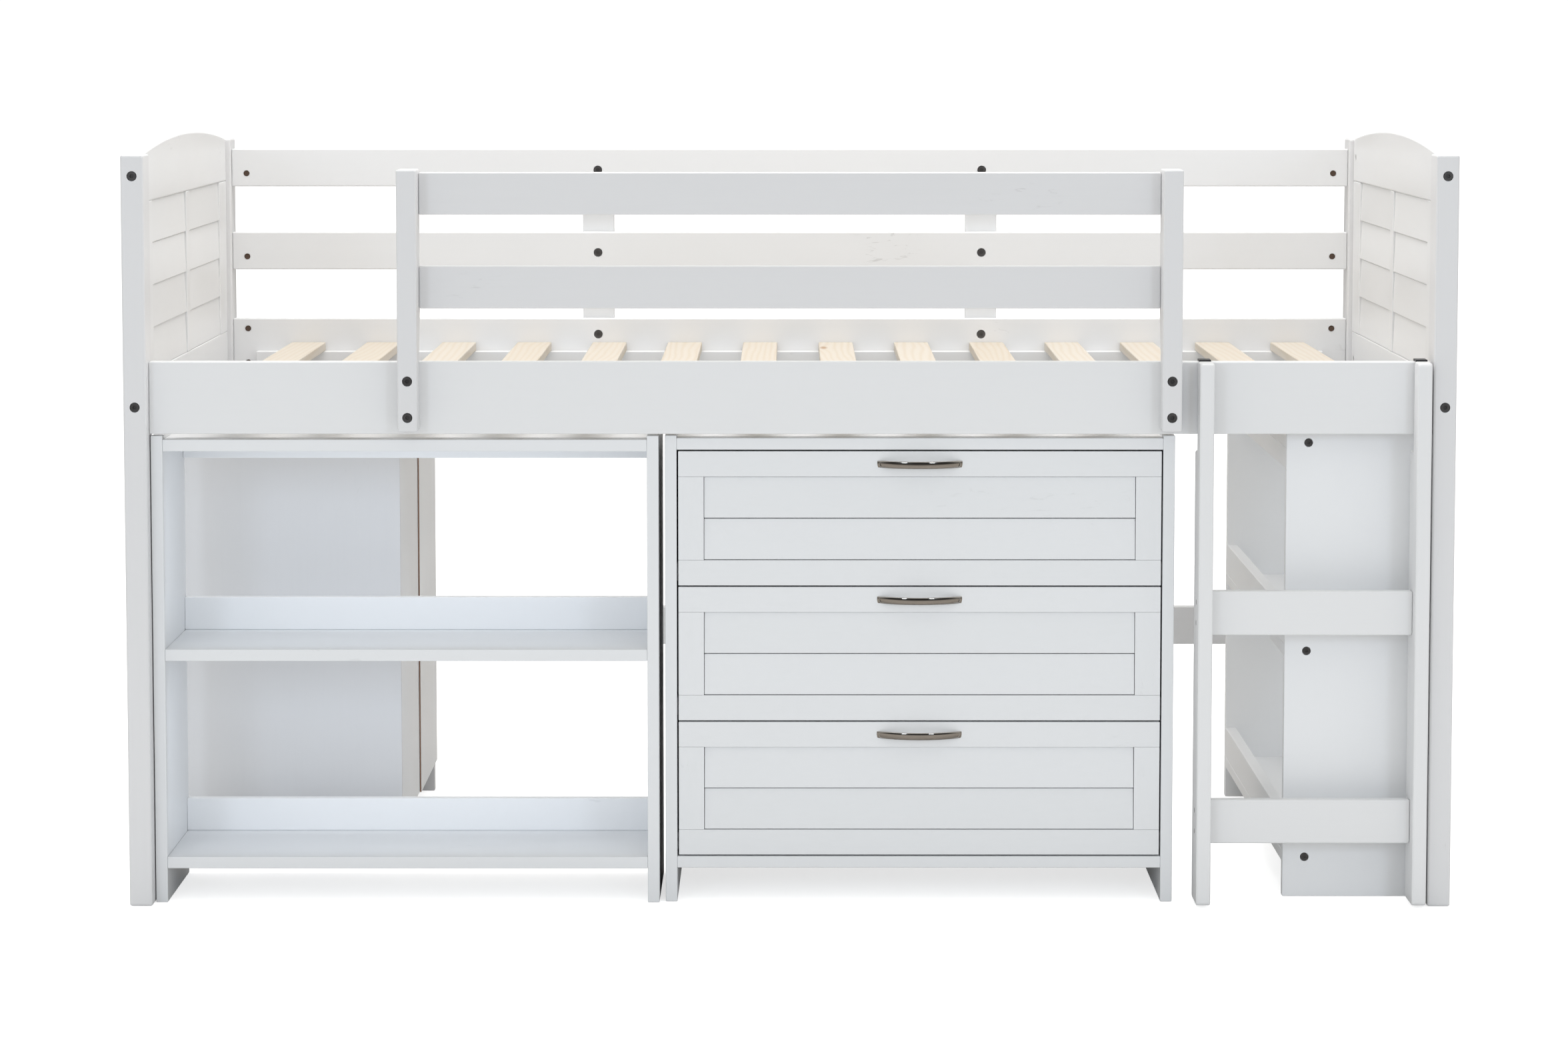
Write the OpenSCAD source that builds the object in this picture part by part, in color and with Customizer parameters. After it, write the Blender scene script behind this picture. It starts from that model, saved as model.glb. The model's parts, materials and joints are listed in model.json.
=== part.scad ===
// Low loft bed with a hook-on ladder and free-standing storage units under the deck:
// an open bookcase, a three-drawer chest, an end bookcase and a desk cabinet with a
// writing board that pulls out of the left end.
// +X runs along the bed towards the ladder, +Y from the ladder side to the wall side,
// +Z up. The origin is on the floor, under the middle of the whole assembly.

/* [Bed] */
// Length over the posts
bed_length = 2030; // [1990:5:2070]
// Depth over the posts
bed_depth = 1087; // [1060:1:1120]
// Post width along the bed
post_w = 35; // [30:1:45]
// Post depth across the bed
post_d = 62; // [56:1:70]
// Post height
post_h = 1154; // [1150:1:1160]

/* [End panels] */
// Thickness of the crest rail, stiles and bottom rail
panel_t = 18; // [17:1:20]
// Highest point of the arched crest rail
crest_peak = 1176; // [1170:1:1185]
// Bottom edge of the crest rail
crest_low = 1080; // [1076:1:1084]
// Louvre rows in each column
louvre_rows = 4; // [3:1:4]
// Height of one louvre row
louvre_pitch = 66; // [62:1:66]
// Width of the stiles beside the posts
stile_w = 85; // [70:1:100]
// Width of the stile between the two louvre columns
mid_stile_w = 35; // [30:1:45]
// Bottom edge of the end panel
end_low = 730; // [728:1:740]

/* [Long rails] */
// Rail thickness
rail_t = 22; // [20:1:24]
// Distance of the rail faces behind the post faces
rail_setback = 28; // [24:1:32]
// Bottom edge of the front and back side rails
side_low = 727; // [727:1:732]
// Height of the side rails
side_h = 111; // [105:1:115]
// Bottom edge of the middle back rail
back_mid_low = 924; // [915:1:935]
// Bottom edge of the top back rail
back_top_low = 1070; // [1060:1:1075]
// Height of the two upper back rails
back_rail_h = 66; // [60:1:70]
// Bottom edge of the stretcher near the floor
stretcher_low = 259; // [240:1:280]
// Height of the stretcher
stretcher_h = 67; // [60:1:75]
// Distance of each back brace from the middle
brace_x = 337; // [300:1:380]
// Width of a back brace
brace_w = 55; // [45:1:60]

/* [Slats] */
// Number of slats
slat_count = 14; // [10:1:14]
// Slat width
slat_w = 60; // [50:1:70]
// Slat thickness
slat_t = 15; // [12:1:18]
// Distance from slat to slat
slat_pitch = 132.6; // [120:0.2:134]
// Distance of the row of slats from the middle, towards the ladder
slat_shift = 14.5; // [0:0.5:15]
// Height of the slat tops, where the mattress lies
slat_top = 796; // [792:1:800]

/* [Guard rail] */
// Distance of each upright from the middle
guard_x = 581; // [560:1:590]
// Width of an upright
guard_w = 30; // [26:1:32]
// Bottom and top of an upright
guard_z = [734, 1132];
// Bottom edges of the two guard boards
guard_board_low = [919, 1062];
// Height of a guard board
guard_board_h = 65; // [60:1:70]

/* [Ladder] */
// Outer faces of the ladder legs
ladder_x = [623, 975.5];
// Leg thickness
leg_t = 22; // [20:1:24]
// Distance of the leg fronts ahead of the posts
ladder_proud = 17; // [15:1:20]
// Depth of a leg below the side rail
leg_d = 75; // [70:1:78]
// Bottom and top of a leg
leg_z = [4, 839];
// Height where the notch for the side rail begins
notch_z = 700; // [695:1:702]
// Bottom edges of the two rungs
rung_low = [96, 419];
// Rung height
rung_h = 68; // [60:1:72]
// Distance that the ladder lifts to clear the side rail: the range of its joint
ladder_lift = 24; // [22:1:26]

/* [Storage units] */
// Board thickness
board_t = 18; // [16:1:18]
// Height of the unit sides
unit_h = 724; // [720:1:725]
// Top surface of the unit tops
unit_top = 718; // [716:1:719]
// Top surface of the middle shelves
shelf_top = 394; // [380:1:400]
// Top surface of the bottom shelves
bottom_top = 71; // [66:1:75]
// Depth of the two bookcases
case_d = 240; // [220:1:245]
// Height of a backstop above its shelf
stop_h = 52; // [45:1:60]

/* [Drawer chest] */
// Left and right faces of the chest
chest_x = [-191.5, 590.5];
// Depth of the chest
chest_d = 400; // [390:1:420]
// Number of drawers
drawer_count = 3; // [3:1:3]
// Thickness of a drawer front
front_t = 18; // [16:1:20]
// Width of the frame around a drawer front
frame_w = 39; // [34:1:42]
// Distance that a drawer pulls out: the range of its joint
drawer_travel = 260; // [220:1:265]

/* [Desk cabinet] */
// Left and right faces of the cabinet
cabinet_x = [-978.5, -626];
// Near and far faces, behind the post fronts
cabinet_v = [381, 1033];
// Distance that the writing board pulls out: the range of its joint
desk_travel = 280; // [240:1:290]

/* [Hidden] */
$fn = 48;

front_y = -(bed_depth - ladder_proud) / 2;
function at(v) = front_y + v;
half_l = bed_length / 2;
inner_x = half_l - post_w;
back_v = bed_depth - rail_setback - rail_t;
post_mid_x = half_l - post_w / 2;
rail_mid_v = rail_setback + rail_t / 2;
side_top = side_low + side_h;
// Hairline left between boards that meet within one sub-part, so each stays its own piece
seam = 0.25;

// Frame bolts: radius of the shank, the head and the bore round each
shank_r = 3;
head_r = 6.75;
head_h = 4.5;
bore_gap = 0.35;
head_bore_r = 8;
head_bore_d = 5.5;
dowel_r = 5;
dowel_l = 14;
dowel_in = 26;

end_bolt_z = [770, 1122];
side_bolt_z = [760, 820];
guard_bolt_z = [755.5, 811];
brace_bolt_z = [810, 954, 1099];
back_bolt_z = concat([stretcher_low + stretcher_h / 2], side_bolt_z, [back_mid_low + 23, back_top_low + 23]);

// ---------------------------------------------------------------- helpers

// A board between two values on each axis; y counts from the post fronts
module board(x, v, z)
    translate([x[0], at(v[0]), z[0]]) cube([x[1] - x[0], v[1] - v[0], z[1] - z[0]]);

// The same thing on both sides of the bed's middle
module both_ends() {
    children();
    mirror([1, 0, 0]) children();
}

// The same thing at the front and, turned round, at the back
module front_and_back() {
    children();
    translate([0, at(bed_depth), 0]) mirror([0, 1, 0]) translate([0, -at(0), 0]) children();
}

// A hex-socket cap bolt whose head's face is at the origin and whose shank runs along -Z
module cap_bolt(length) {
    difference() {
        union() {
            translate([0, 0, -head_h]) cylinder(r = head_r, h = head_h);
            translate([0, 0, -length]) cylinder(r = shank_r, h = length - head_h + 1);
        }
        translate([0, 0, -2.6]) cylinder(r = 3.4, h = 3, $fn = 6);
    }
}

// The counterbored hole that such a bolt lies in, its mouth 1 mm above the wood
module cap_bore(length) {
    translate([0, 0, -head_bore_d + 0.9]) cylinder(r = head_bore_r, h = head_bore_d + 1);
    translate([0, 0, -length - 0.3]) cylinder(r = shank_r + bore_gap, h = length);
}

// Bolts through the posts into the end panels, and through the posts into the rails
module post_bolts(bore) {
    end_len = post_d + dowel_in - dowel_r - 1.2;
    rail_len = post_w + dowel_in - dowel_r - 1.2;
    both_ends() {
        front_and_back() for (z = end_bolt_z)
            translate([post_mid_x, at(0.9), z]) rotate([90, 0, 0])
                if (bore) cap_bore(end_len); else cap_bolt(end_len);
        for (z = side_bolt_z)
            translate([half_l - 0.9, at(rail_mid_v), z]) rotate([0, 90, 0])
                if (bore) cap_bore(rail_len); else cap_bolt(rail_len);
        for (z = back_bolt_z)
            translate([half_l - 0.9, at(bed_depth - rail_mid_v), z]) rotate([0, 90, 0])
                if (bore) cap_bore(rail_len); else cap_bolt(rail_len);
    }
}

// Bolts through the guard uprights, and through the back rails into the braces
module face_bolts(bore) {
    guard_len = rail_setback + guard_proud + rail_t - 4;
    both_ends() {
        for (z = guard_bolt_z)
            translate([guard_x, at(0.9 - guard_proud), z]) rotate([90, 0, 0])
                if (bore) cap_bore(guard_len); else cap_bolt(guard_len);
        for (z = brace_bolt_z)
            translate([brace_x, at(back_v + 0.9), z]) rotate([90, 0, 0])
                if (bore) cap_bore(rail_t + brace_t - 5); else cap_bolt(rail_t + brace_t - 5);
    }
}

// Cross dowels: in the end panels' inner faces, and in the long rails' inner faces
module dowels(extra) {
    r = dowel_r + extra;
    l = dowel_l + extra;
    both_ends() {
        front_and_back() for (z = end_bolt_z)
            translate([post_mid_x - panel_t / 2 + 0.8 - 6 * extra, at(post_d + dowel_in), z])
                rotate([0, 90, 0]) cylinder(r = r, h = l + 5 * extra);
        for (z = side_bolt_z)
            translate([inner_x - dowel_in, at(rail_setback + rail_t - 0.8 + 6 * extra), z])
                rotate([90, 0, 0]) cylinder(r = r, h = l + 5 * extra);
        for (z = back_bolt_z)
            translate([inner_x - dowel_in, at(back_v + 0.8 - 6 * extra), z])
                rotate([-90, 0, 0]) cylinder(r = r, h = l + 5 * extra);
    }
}

// Wood of the bed frame, drilled for every bolt and cross dowel that reaches it
module drilled(posts = false, faces = false, nuts = false)
    difference() {
        children();
        if (posts) post_bolts(true);
        if (faces) face_bolts(true);
        if (nuts) dowels(0.3);
    }

// ---------------------------------------------------------------- bed frame

module post(side, v)
    color("whitesmoke") drilled(posts = true)
        board(side > 0 ? [inner_x, half_l] : [-half_l, -inner_x], [v, v + post_d], [0, post_h]);

panel_v = [post_d, bed_depth - post_d];
panel_x = [post_mid_x - panel_t / 2, post_mid_x + panel_t / 2];
louvre_low = crest_low - louvre_rows * louvre_pitch;
crest_half = (panel_v[1] - panel_v[0]) / 2;
crest_rise = crest_peak - post_h;
crest_r = (crest_half * crest_half + crest_rise * crest_rise) / (2 * crest_rise);
mid_v = bed_depth / 2;

// Crest rail: straight below, one long arc above that starts at the post tops
module crest_rail()
    color("whitesmoke") drilled(posts = true, nuts = true)
        translate([panel_x[0], at(mid_v), 0]) rotate([90, 0, 90]) linear_extrude(panel_t)
            intersection() {
                translate([-crest_half, crest_low]) square([2 * crest_half, crest_peak - crest_low]);
                translate([0, crest_peak - crest_r]) circle(r = crest_r, $fn = 360);
            }

// Two outer stiles, one between the louvre columns, and the bottom rail
module end_stiles()
    color("whitesmoke") drilled(posts = true, nuts = true) {
        upright_z = [louvre_low + seam, crest_low];
        board(panel_x, [panel_v[0], panel_v[0] + stile_w], upright_z);
        board(panel_x, [panel_v[1] - stile_w, panel_v[1]], upright_z);
        board(panel_x, [mid_v - mid_stile_w / 2, mid_v + mid_stile_w / 2], upright_z);
        board(panel_x, panel_v, [end_low, louvre_low]);
    }

// One sloping louvre: its lower edge stands inward of the top of the next one down
louvre_t = 7;
louvre_lean = 3.8;
louvre_cols = [[panel_v[0] + stile_w, mid_v - mid_stile_w / 2],
               [mid_v + mid_stile_w / 2, panel_v[1] - stile_w]];
module louvre(v, row) {
    z = louvre_low + row * louvre_pitch + seam;
    top = louvre_pitch - 2 * seam;
    translate([post_mid_x - 8, at(v[1]), z]) rotate([90, 0, 0]) linear_extrude(v[1] - v[0])
        polygon([[0, 0], [louvre_t, 0], [louvre_t + louvre_lean, top], [louvre_lean, top]]);
}

module louvres()
    color("white") for (v = louvre_cols) for (row = [0:louvre_rows - 1]) louvre(v, row);

module front_side_rail()
    color("whitesmoke") drilled(posts = true, faces = true, nuts = true)
        board([-inner_x, inner_x], [rail_setback, rail_setback + rail_t], [side_low, side_top]);

module back_board(low, h)
    board([-inner_x, inner_x], [back_v, back_v + rail_t], [low, low + h]);

module back_rails()
    color("ivory") drilled(posts = true, faces = true, nuts = true) {
        back_board(side_low, side_h);
        back_board(back_mid_low, back_rail_h);
        back_board(back_top_low, back_rail_h);
    }

brace_t = 18;
module back_braces()
    color("ivory") drilled(faces = true) both_ends()
        board([brace_x - brace_w / 2, brace_x + brace_w / 2],
              [back_v + rail_t, back_v + rail_t + brace_t], [side_low + 8, back_top_low + back_rail_h - 4]);

module back_stretcher()
    color("ivory") drilled(posts = true, nuts = true) back_board(stretcher_low, stretcher_h);

// Ledgers screwed to the side rails, which carry the slats
ledger_t = 20;
ledger_in = 42;
ledger_h = 40;
ledger_screw_x = [-800, -530, -260, 10, 270, 540, 810];
module ledger_screw() {
    cylinder(r1 = 1.8, r2 = 4, h = 3);
    translate([0, 0, -ledger_t - 8]) cylinder(r = 1.8, h = ledger_t + 8.2);
}
module ledger_screws()
    for (x = ledger_screw_x) {
        translate([x, at(rail_setback + rail_t + ledger_t - 2.8), slat_top - slat_t - 22])
            rotate([-90, 0, 0]) ledger_screw();
        translate([x, at(back_v - ledger_t + 2.8), slat_top - slat_t - 22])
            rotate([90, 0, 0]) ledger_screw();
    }
module slat_ledgers()
    color("ivory") difference() {
        for (v = [rail_setback + rail_t, back_v - ledger_t])
            board([-inner_x + ledger_in, inner_x - ledger_in], [v, v + ledger_t],
                  [slat_top - slat_t - ledger_h, slat_top - slat_t]);
        ledger_screws();
    }

module bed_slats()
    color("burlywood") for (i = [0:slat_count - 1]) {
        x = slat_shift + (i - (slat_count - 1) / 2) * slat_pitch;
        board([x - slat_w / 2, x + slat_w / 2], [rail_setback + rail_t + 1.5, back_v - 1.5],
              [slat_top - slat_t, slat_top]);
    }

// ---------------------------------------------------------------- guard rail

guard_proud = 15;
guard_board_v = [31, 50];
guard_flare = [side_top + 12, guard_board_low[0] - 4];

// An upright lies flat on the side rail and grows deeper above it, where it takes the boards
module guard_uprights()
    color("whitesmoke") drilled(faces = true) both_ends()
        translate([guard_x - guard_w / 2, 0, 0]) rotate([90, 0, 90]) linear_extrude(guard_w)
            polygon([[at(-guard_proud), guard_z[0]], [at(rail_setback), guard_z[0]],
                     [at(rail_setback), guard_flare[0]], [at(guard_board_v[1]), guard_flare[1]],
                     [at(guard_board_v[1]), guard_z[1]], [at(-guard_proud), guard_z[1]]]);

module guard_boards()
    color("gainsboro") for (z = guard_board_low)
        board([-guard_x + guard_w / 2, guard_x - guard_w / 2], guard_board_v, [z, z + guard_board_h]);

// ---------------------------------------------------------------- fasteners of the bed

module bed_bolts()
    color("dimgray") {
        post_bolts(false);
        face_bolts(false);
        difference() {
            ledger_screws();
            board([-inner_x, inner_x], [rail_setback, rail_setback + rail_t], [side_low, side_top]);
            board([-inner_x, inner_x], [back_v, back_v + rail_t], [side_low, side_top]);
        }
    }

module cross_dowels() color("saddlebrown") dowels(0);

// ---------------------------------------------------------------- ladder

hook_t = 3;
hook_w = 18;
hook_drop = 20;
hook_down = 40;
hook_gap = 0.4;
leg_back = rail_setback - hook_t - hook_gap;
rung_t = 20;
rung_v = [28 - ladder_proud, 28 - ladder_proud + rung_t];
leg_lefts = [ladder_x[0], ladder_x[1] - leg_t];

// Side profile of a leg: deep below the side rail, notched to lie against it above
module ladder_legs()
    color("whitesmoke") difference() {
        for (x = leg_lefts)
            translate([x, 0, 0]) rotate([90, 0, 90]) linear_extrude(leg_t)
                polygon([[at(-ladder_proud), leg_z[0]], [at(leg_d - ladder_proud), leg_z[0]],
                         [at(leg_d - ladder_proud), notch_z], [at(leg_back), notch_z],
                         [at(leg_back), leg_z[1]], [at(-ladder_proud), leg_z[1]]]);
        ladder_screws();
    }

module ladder_rungs()
    color("whitesmoke") difference() {
        for (z = rung_low)
            board([ladder_x[0] + leg_t, ladder_x[1] - leg_t], rung_v, [z, z + rung_h]);
        ladder_screws();
    }

// A steel strap screwed to the back of each leg, over the side rail and down behind it
module ladder_hooks()
    color("#222222") for (x = leg_lefts) {
        left = x + (leg_t - hook_w) / 2;
        translate([left, 0, 0]) rotate([90, 0, 90]) linear_extrude(hook_w)
            polygon([[at(leg_back), side_top - hook_down], [at(leg_back), side_top + 0.3 + hook_t],
                     [at(rail_setback + rail_t + hook_gap + hook_t), side_top + 0.3 + hook_t],
                     [at(rail_setback + rail_t + hook_gap + hook_t), side_top - hook_drop],
                     [at(rail_setback + rail_t + hook_gap), side_top - hook_drop],
                     [at(rail_setback + rail_t + hook_gap), side_top + 0.3],
                     [at(rail_setback - hook_gap), side_top + 0.3],
                     [at(rail_setback - hook_gap), side_top - hook_down]]);
    }

// Two screws through each leg into each end of each rung
module ladder_screws()
    color("#333333") for (z = rung_low) for (dz = [18, rung_h - 18]) {
        translate([ladder_x[0], at(rung_v[0] + rung_t / 2), z + dz]) rotate([0, 90, 0]) {
            cylinder(r1 = 4, r2 = 1.8, h = 3);
            cylinder(r = 1.8, h = leg_t + 26);
        }
        translate([ladder_x[1], at(rung_v[0] + rung_t / 2), z + dz]) rotate([0, -90, 0]) {
            cylinder(r1 = 4, r2 = 1.8, h = 3);
            cylinder(r = 1.8, h = leg_t + 26);
        }
    }

// ---------------------------------------------------------------- open bookcases

case_x = [-978.5, -201];
case_v = [30, 30 + case_d];
end_x = [766, 766 + case_d];
end_v = [80, 977];
shelf_tops = [unit_top, shelf_top, bottom_top];
apron_h = 32;

// Confirmat bolts: in the outer faces of the sides, two to each board
module unit_bolt() {
    difference() {
        translate([0, 0, -3]) cylinder(r = 6, h = 3);
        translate([0, 0, -1.8]) cylinder(r = 2.6, h = 3, $fn = 6);
    }
    translate([0, 0, -34]) cylinder(r = 2.5, h = 32);
}
module unit_bore() {
    translate([0, 0, -3.1]) cylinder(r = 6.8, h = 4.2);
    translate([0, 0, -34.3]) cylinder(r = 2.75, h = 33);
}
// Fastens a unit whose boards run along X
module row_bolts(x, v, bore) {
    for (z = shelf_tops) for (y = [v[0] + 34, v[1] - 34]) {
        translate([x[0] + 0.5, at(y), z - board_t / 2]) rotate([0, -90, 0])
            if (bore) unit_bore(); else unit_bolt();
        translate([x[1] - 0.5, at(y), z - board_t / 2]) rotate([0, 90, 0])
            if (bore) unit_bore(); else unit_bolt();
    }
}
// Fastens a unit whose boards run along Y
module column_bolts(x, v, bore) {
    for (z = shelf_tops) for (bx = [x[0] + 34, x[1] - 34]) {
        translate([bx, at(v[0] + 0.5), z - board_t / 2]) rotate([90, 0, 0])
            if (bore) unit_bore(); else unit_bolt();
        translate([bx, at(v[1] - 0.5), z - board_t / 2]) rotate([-90, 0, 0])
            if (bore) unit_bore(); else unit_bolt();
    }
}

module bookcase_sides()
    color("whitesmoke") difference() {
        for (x = [case_x[0], case_x[1] - board_t]) board([x, x + board_t], case_v, [0, unit_h]);
        row_bolts(case_x, case_v, true);
    }

case_in = [case_x[0] + board_t, case_x[1] - board_t];
module bookcase_shelves()
    color("whitesmoke") difference() {
        for (z = shelf_tops) board(case_in, case_v, [z - board_t, z]);
        row_bolts(case_x, case_v, true);
    }

// A strip stands on the back of each shelf, and an apron hangs under the top
module bookcase_backstops()
    color("white") {
        rear = [case_v[1] - board_t, case_v[1]];
        for (z = [shelf_top, bottom_top]) board(case_in, rear, [z, z + stop_h]);
        board(case_in, rear, [unit_top - board_t - apron_h, unit_top - board_t]);
    }

module end_bookcase_sides()
    color("whitesmoke") difference() {
        for (v = [end_v[0], end_v[1] - board_t]) board(end_x, [v, v + board_t], [0, unit_h]);
        column_bolts(end_x, end_v, true);
    }

end_in = [end_v[0] + board_t, end_v[1] - board_t];
module end_bookcase_shelves()
    color("whitesmoke") difference() {
        for (z = shelf_tops) board(end_x, end_in, [z - board_t, z]);
        column_bolts(end_x, end_v, true);
    }

module end_bookcase_backstops()
    color("white") {
        rear = [end_x[0], end_x[0] + board_t];
        for (z = [shelf_top, bottom_top]) board(rear, end_in, [z, z + stop_h]);
        board(rear, end_in, [unit_top - board_t - apron_h, unit_top - board_t]);
    }

module unit_bolts()
    color("#222222") {
        row_bolts(case_x, case_v, false);
        column_bolts(end_x, end_v, false);
        column_bolts(cabinet_x, cabinet_v, false);
    }

// ---------------------------------------------------------------- drawer chest

chest_v = [37, 37 + chest_d];
chest_in = [chest_x[0] + board_t, chest_x[1] - board_t];
back_t = 3;
front_gap = 2.5;
fronts_z = [bottom_top + front_gap, unit_top + 2 - board_t - front_gap];
front_h = (fronts_z[1] - fronts_z[0] - (drawer_count - 1) * front_gap) / drawer_count;
function front_low(n) = fronts_z[1] - n * front_h - (n - 1) * front_gap;

module chest_sides()
    color("whitesmoke") for (x = [chest_x[0], chest_x[1] - board_t])
        board([x, x + board_t], chest_v, [0, unit_h]);
module chest_top()
    color("whitesmoke") board(chest_in, [chest_v[0], chest_v[1] - back_t], [unit_top + 2 - board_t, unit_top + 2]);
module chest_bottom()
    color("whitesmoke") board(chest_in, [chest_v[0], chest_v[1] - back_t], [bottom_top - board_t, bottom_top]);
module chest_back()
    color("tan") board(chest_in, [chest_v[1] - back_t, chest_v[1]], [bottom_top - board_t, unit_top + 2]);

// Drawer box and its roller runners
box_gap = 12.5;
box_t = 12;
box_x = [chest_in[0] + box_gap, chest_in[1] - box_gap];
box_v = [chest_v[0] + front_t, chest_v[0] + front_t + 345];
box_rise = 26;
box_h = 150;
steel_t = 1.2;
roller_r = 9;
roller_w = 7;
axle_r = 2.5;
play = 0.1;
case_roller_v = box_v[0] + 14;
box_roller_v = box_v[1] - 12;
function box_low(n) = front_low(n) + box_rise;
function roller_z(n) = box_low(n) - steel_t - play - roller_r;

// Puts what is drawn for the left runner on both sides of the chest
module both_sides() {
    mid = (chest_in[0] + chest_in[1]) / 2;
    children();
    translate([mid, 0, 0]) mirror([1, 0, 0]) translate([-mid, 0, 0]) children();
}

// Left runner on the case: a channel with a stub axle at its front end
module case_runner(n) {
    floor_z = roller_z(n) - roller_r - play;
    x = chest_in[0];
    v = [box_v[0] + 1, box_v[1] + 10];
    board([x, x + steel_t], v, [floor_z - steel_t, box_low(n) + 6]);
    board([x, x + 10.6], [case_roller_v + roller_r + 2, v[1]], [floor_z - steel_t, floor_z]);
    translate([x, at(case_roller_v), roller_z(n)]) rotate([0, 90, 0]) cylinder(r = axle_r, h = 9.6);
}

// Left runner on the drawer: an angle round the box's lower edge, with a stub axle at the back
module box_runner(n) {
    x = box_x[0];
    board([x - 10, x + box_t], box_v, [box_low(n) - steel_t, box_low(n)]);
    board([x - steel_t, x], [box_v[0], box_v[1]], [box_low(n) - steel_t, box_low(n) + 18]);
    board([x - steel_t, x], [box_roller_v - 8, box_roller_v + 8], [roller_z(n) - 7, box_low(n)]);
    translate([x - 9.8, at(box_roller_v), roller_z(n)]) rotate([0, 90, 0]) cylinder(r = axle_r, h = 9);
}

module roller(x, v, n)
    translate([x, at(v), roller_z(n)]) rotate([0, 90, 0]) difference() {
        cylinder(r = roller_r, h = roller_w);
        translate([0, 0, -1]) cylinder(r = axle_r + 0.06, h = roller_w + 2);
    }

module chest_runners() color("gainsboro") both_sides() for (n = [1:drawer_count]) case_runner(n);
module chest_rollers(n) color("white") both_sides() roller(chest_in[0] + steel_t + 0.8, case_roller_v, n);
module drawer_runners(n) color("gainsboro") both_sides() box_runner(n);
module drawer_rollers(n) color("white") both_sides() roller(box_x[0] - steel_t - 0.8 - roller_w, box_roller_v, n);

front_x = [chest_in[0] + front_gap, chest_in[1] - front_gap];
front_v = [chest_v[0], chest_v[0] + front_t];

// Framed front: top and bottom rails, two short stiles and two lapped boards between them
lap_t = 12;
lap_in = 1.5;
lap_lean = 3;
module drawer_front(n) {
    low = front_low(n);
    between = [low + frame_w + seam, low + front_h - frame_w - seam];
    lap_h = (between[1] - between[0] - seam) / 2;
    lap_x = [front_x[0] + frame_w, front_x[1] - frame_w];
    color("whitesmoke") {
        board(front_x, front_v, [low, low + frame_w]);
        board(front_x, front_v, [low + front_h - frame_w, low + front_h]);
        for (x = [front_x[0], lap_x[1]]) board([x, x + frame_w], front_v, between);
        for (z = [between[0], between[1] - lap_h])
            translate([lap_x[0] + seam, 0, z]) rotate([90, 0, 90])
                linear_extrude(lap_x[1] - lap_x[0] - 2 * seam)
                    polygon([[at(front_v[0] + lap_in), 0], [at(front_v[0] + lap_t), 0],
                             [at(front_v[0] + lap_t), lap_h],
                             [at(front_v[0] + lap_in + lap_lean), lap_h]]);
    }
}

// Box of four boards: two sides, a back and a thin bottom let in between them
module drawer_box(n) {
    z = [box_low(n), box_low(n) + box_h];
    inside = [box_x[0] + box_t + seam, box_x[1] - box_t - seam];
    color("linen") {
        for (x = [box_x[0], box_x[1] - box_t]) board([x, x + box_t], box_v, z);
        board(inside, [box_v[1] - box_t, box_v[1]], z);
        board(inside, [box_v[0], box_v[1] - box_t - seam], [z[0] + 8, z[0] + 12]);
    }
}

// Bow handle: an arc in plan, flattened to a strap, on two round feet
handle_w = 131;
handle_bow = 22;
handle_t = 4;
handle_h = 11;
foot_r = 5;
handle_mid = (front_x[0] + front_x[1]) / 2;
bow_r = (handle_w * handle_w / 4 + handle_bow * handle_bow) / (2 * handle_bow);
module drawer_handle(n) {
    z = front_low(n) + front_h - frame_w / 2;
    color("silver") translate([handle_mid, at(front_v[0]), z]) {
        intersection() {
            translate([0, bow_r - handle_bow, -handle_h / 2]) difference() {
                cylinder(r = bow_r, h = handle_h, $fn = 180);
                translate([0, 0, -1]) cylinder(r = bow_r - handle_t, h = handle_h + 2, $fn = 180);
            }
            translate([-handle_w / 2, -handle_bow - 1, -handle_h]) cube([handle_w, handle_bow + 1, 2 * handle_h]);
        }
        for (s = [-1, 1]) translate([s * (handle_w / 2 - foot_r - 3), 0, 0]) rotate([90, 0, 0])
            cylinder(r = foot_r - 0.5, h = 3.5);
    }
}

// ---------------------------------------------------------------- desk cabinet

cab_in_v = [cabinet_v[0] + board_t, cabinet_v[1] - board_t];
cab_back_t = 3;
cab_board_x = [cabinet_x[0], cabinet_x[1] - cab_back_t];

// Thin back in two halves: the near one is let into the boards, the far one lies on them
back_mid_v = (cabinet_v[0] + cabinet_v[1]) / 2;
back_z = [bottom_top - board_t, unit_h - 3];
module back_recess()
    board([cab_board_x[1] - cab_back_t - seam, cab_board_x[1] + 1],
          [cabinet_v[0] + 2, back_mid_v + 1], [back_z[0] - 1, back_z[1] + seam]);

module cabinet_sides()
    color("whitesmoke") difference() {
        for (v = [cabinet_v[0], cab_in_v[1]]) board(cab_board_x, [v, v + board_t], [0, unit_h]);
        column_bolts(cabinet_x, cabinet_v, true);
        back_recess();
    }

module cabinet_shelves()
    color("whitesmoke") difference() {
        for (z = shelf_tops) board(cab_board_x, cab_in_v, [z - board_t, z]);
        column_bolts(cabinet_x, cabinet_v, true);
        back_recess();
    }

module cabinet_back()
    color("whitesmoke") {
        board([cab_board_x[1] - cab_back_t, cab_board_x[1]],
              [cabinet_v[0] + 2 + seam, back_mid_v], back_z);
        board([cab_board_x[1] + seam, cabinet_x[1]], [back_mid_v - 6, cabinet_v[1] - 2], back_z);
    }

// Writing board under the top, held by a channel along each side of the cabinet
desk_t = 16;
desk_top = unit_top - board_t - 12;
desk_z = [desk_top - desk_t, desk_top];
desk_x = [cabinet_x[0] + 8, cab_board_x[1] - cab_back_t - 2];
channel_w = 14;
channel_lip = 3;
channel_play = 0.5;
desk_v = [cab_in_v[0] + channel_lip + channel_play, cab_in_v[1] - channel_lip - channel_play];

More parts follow.
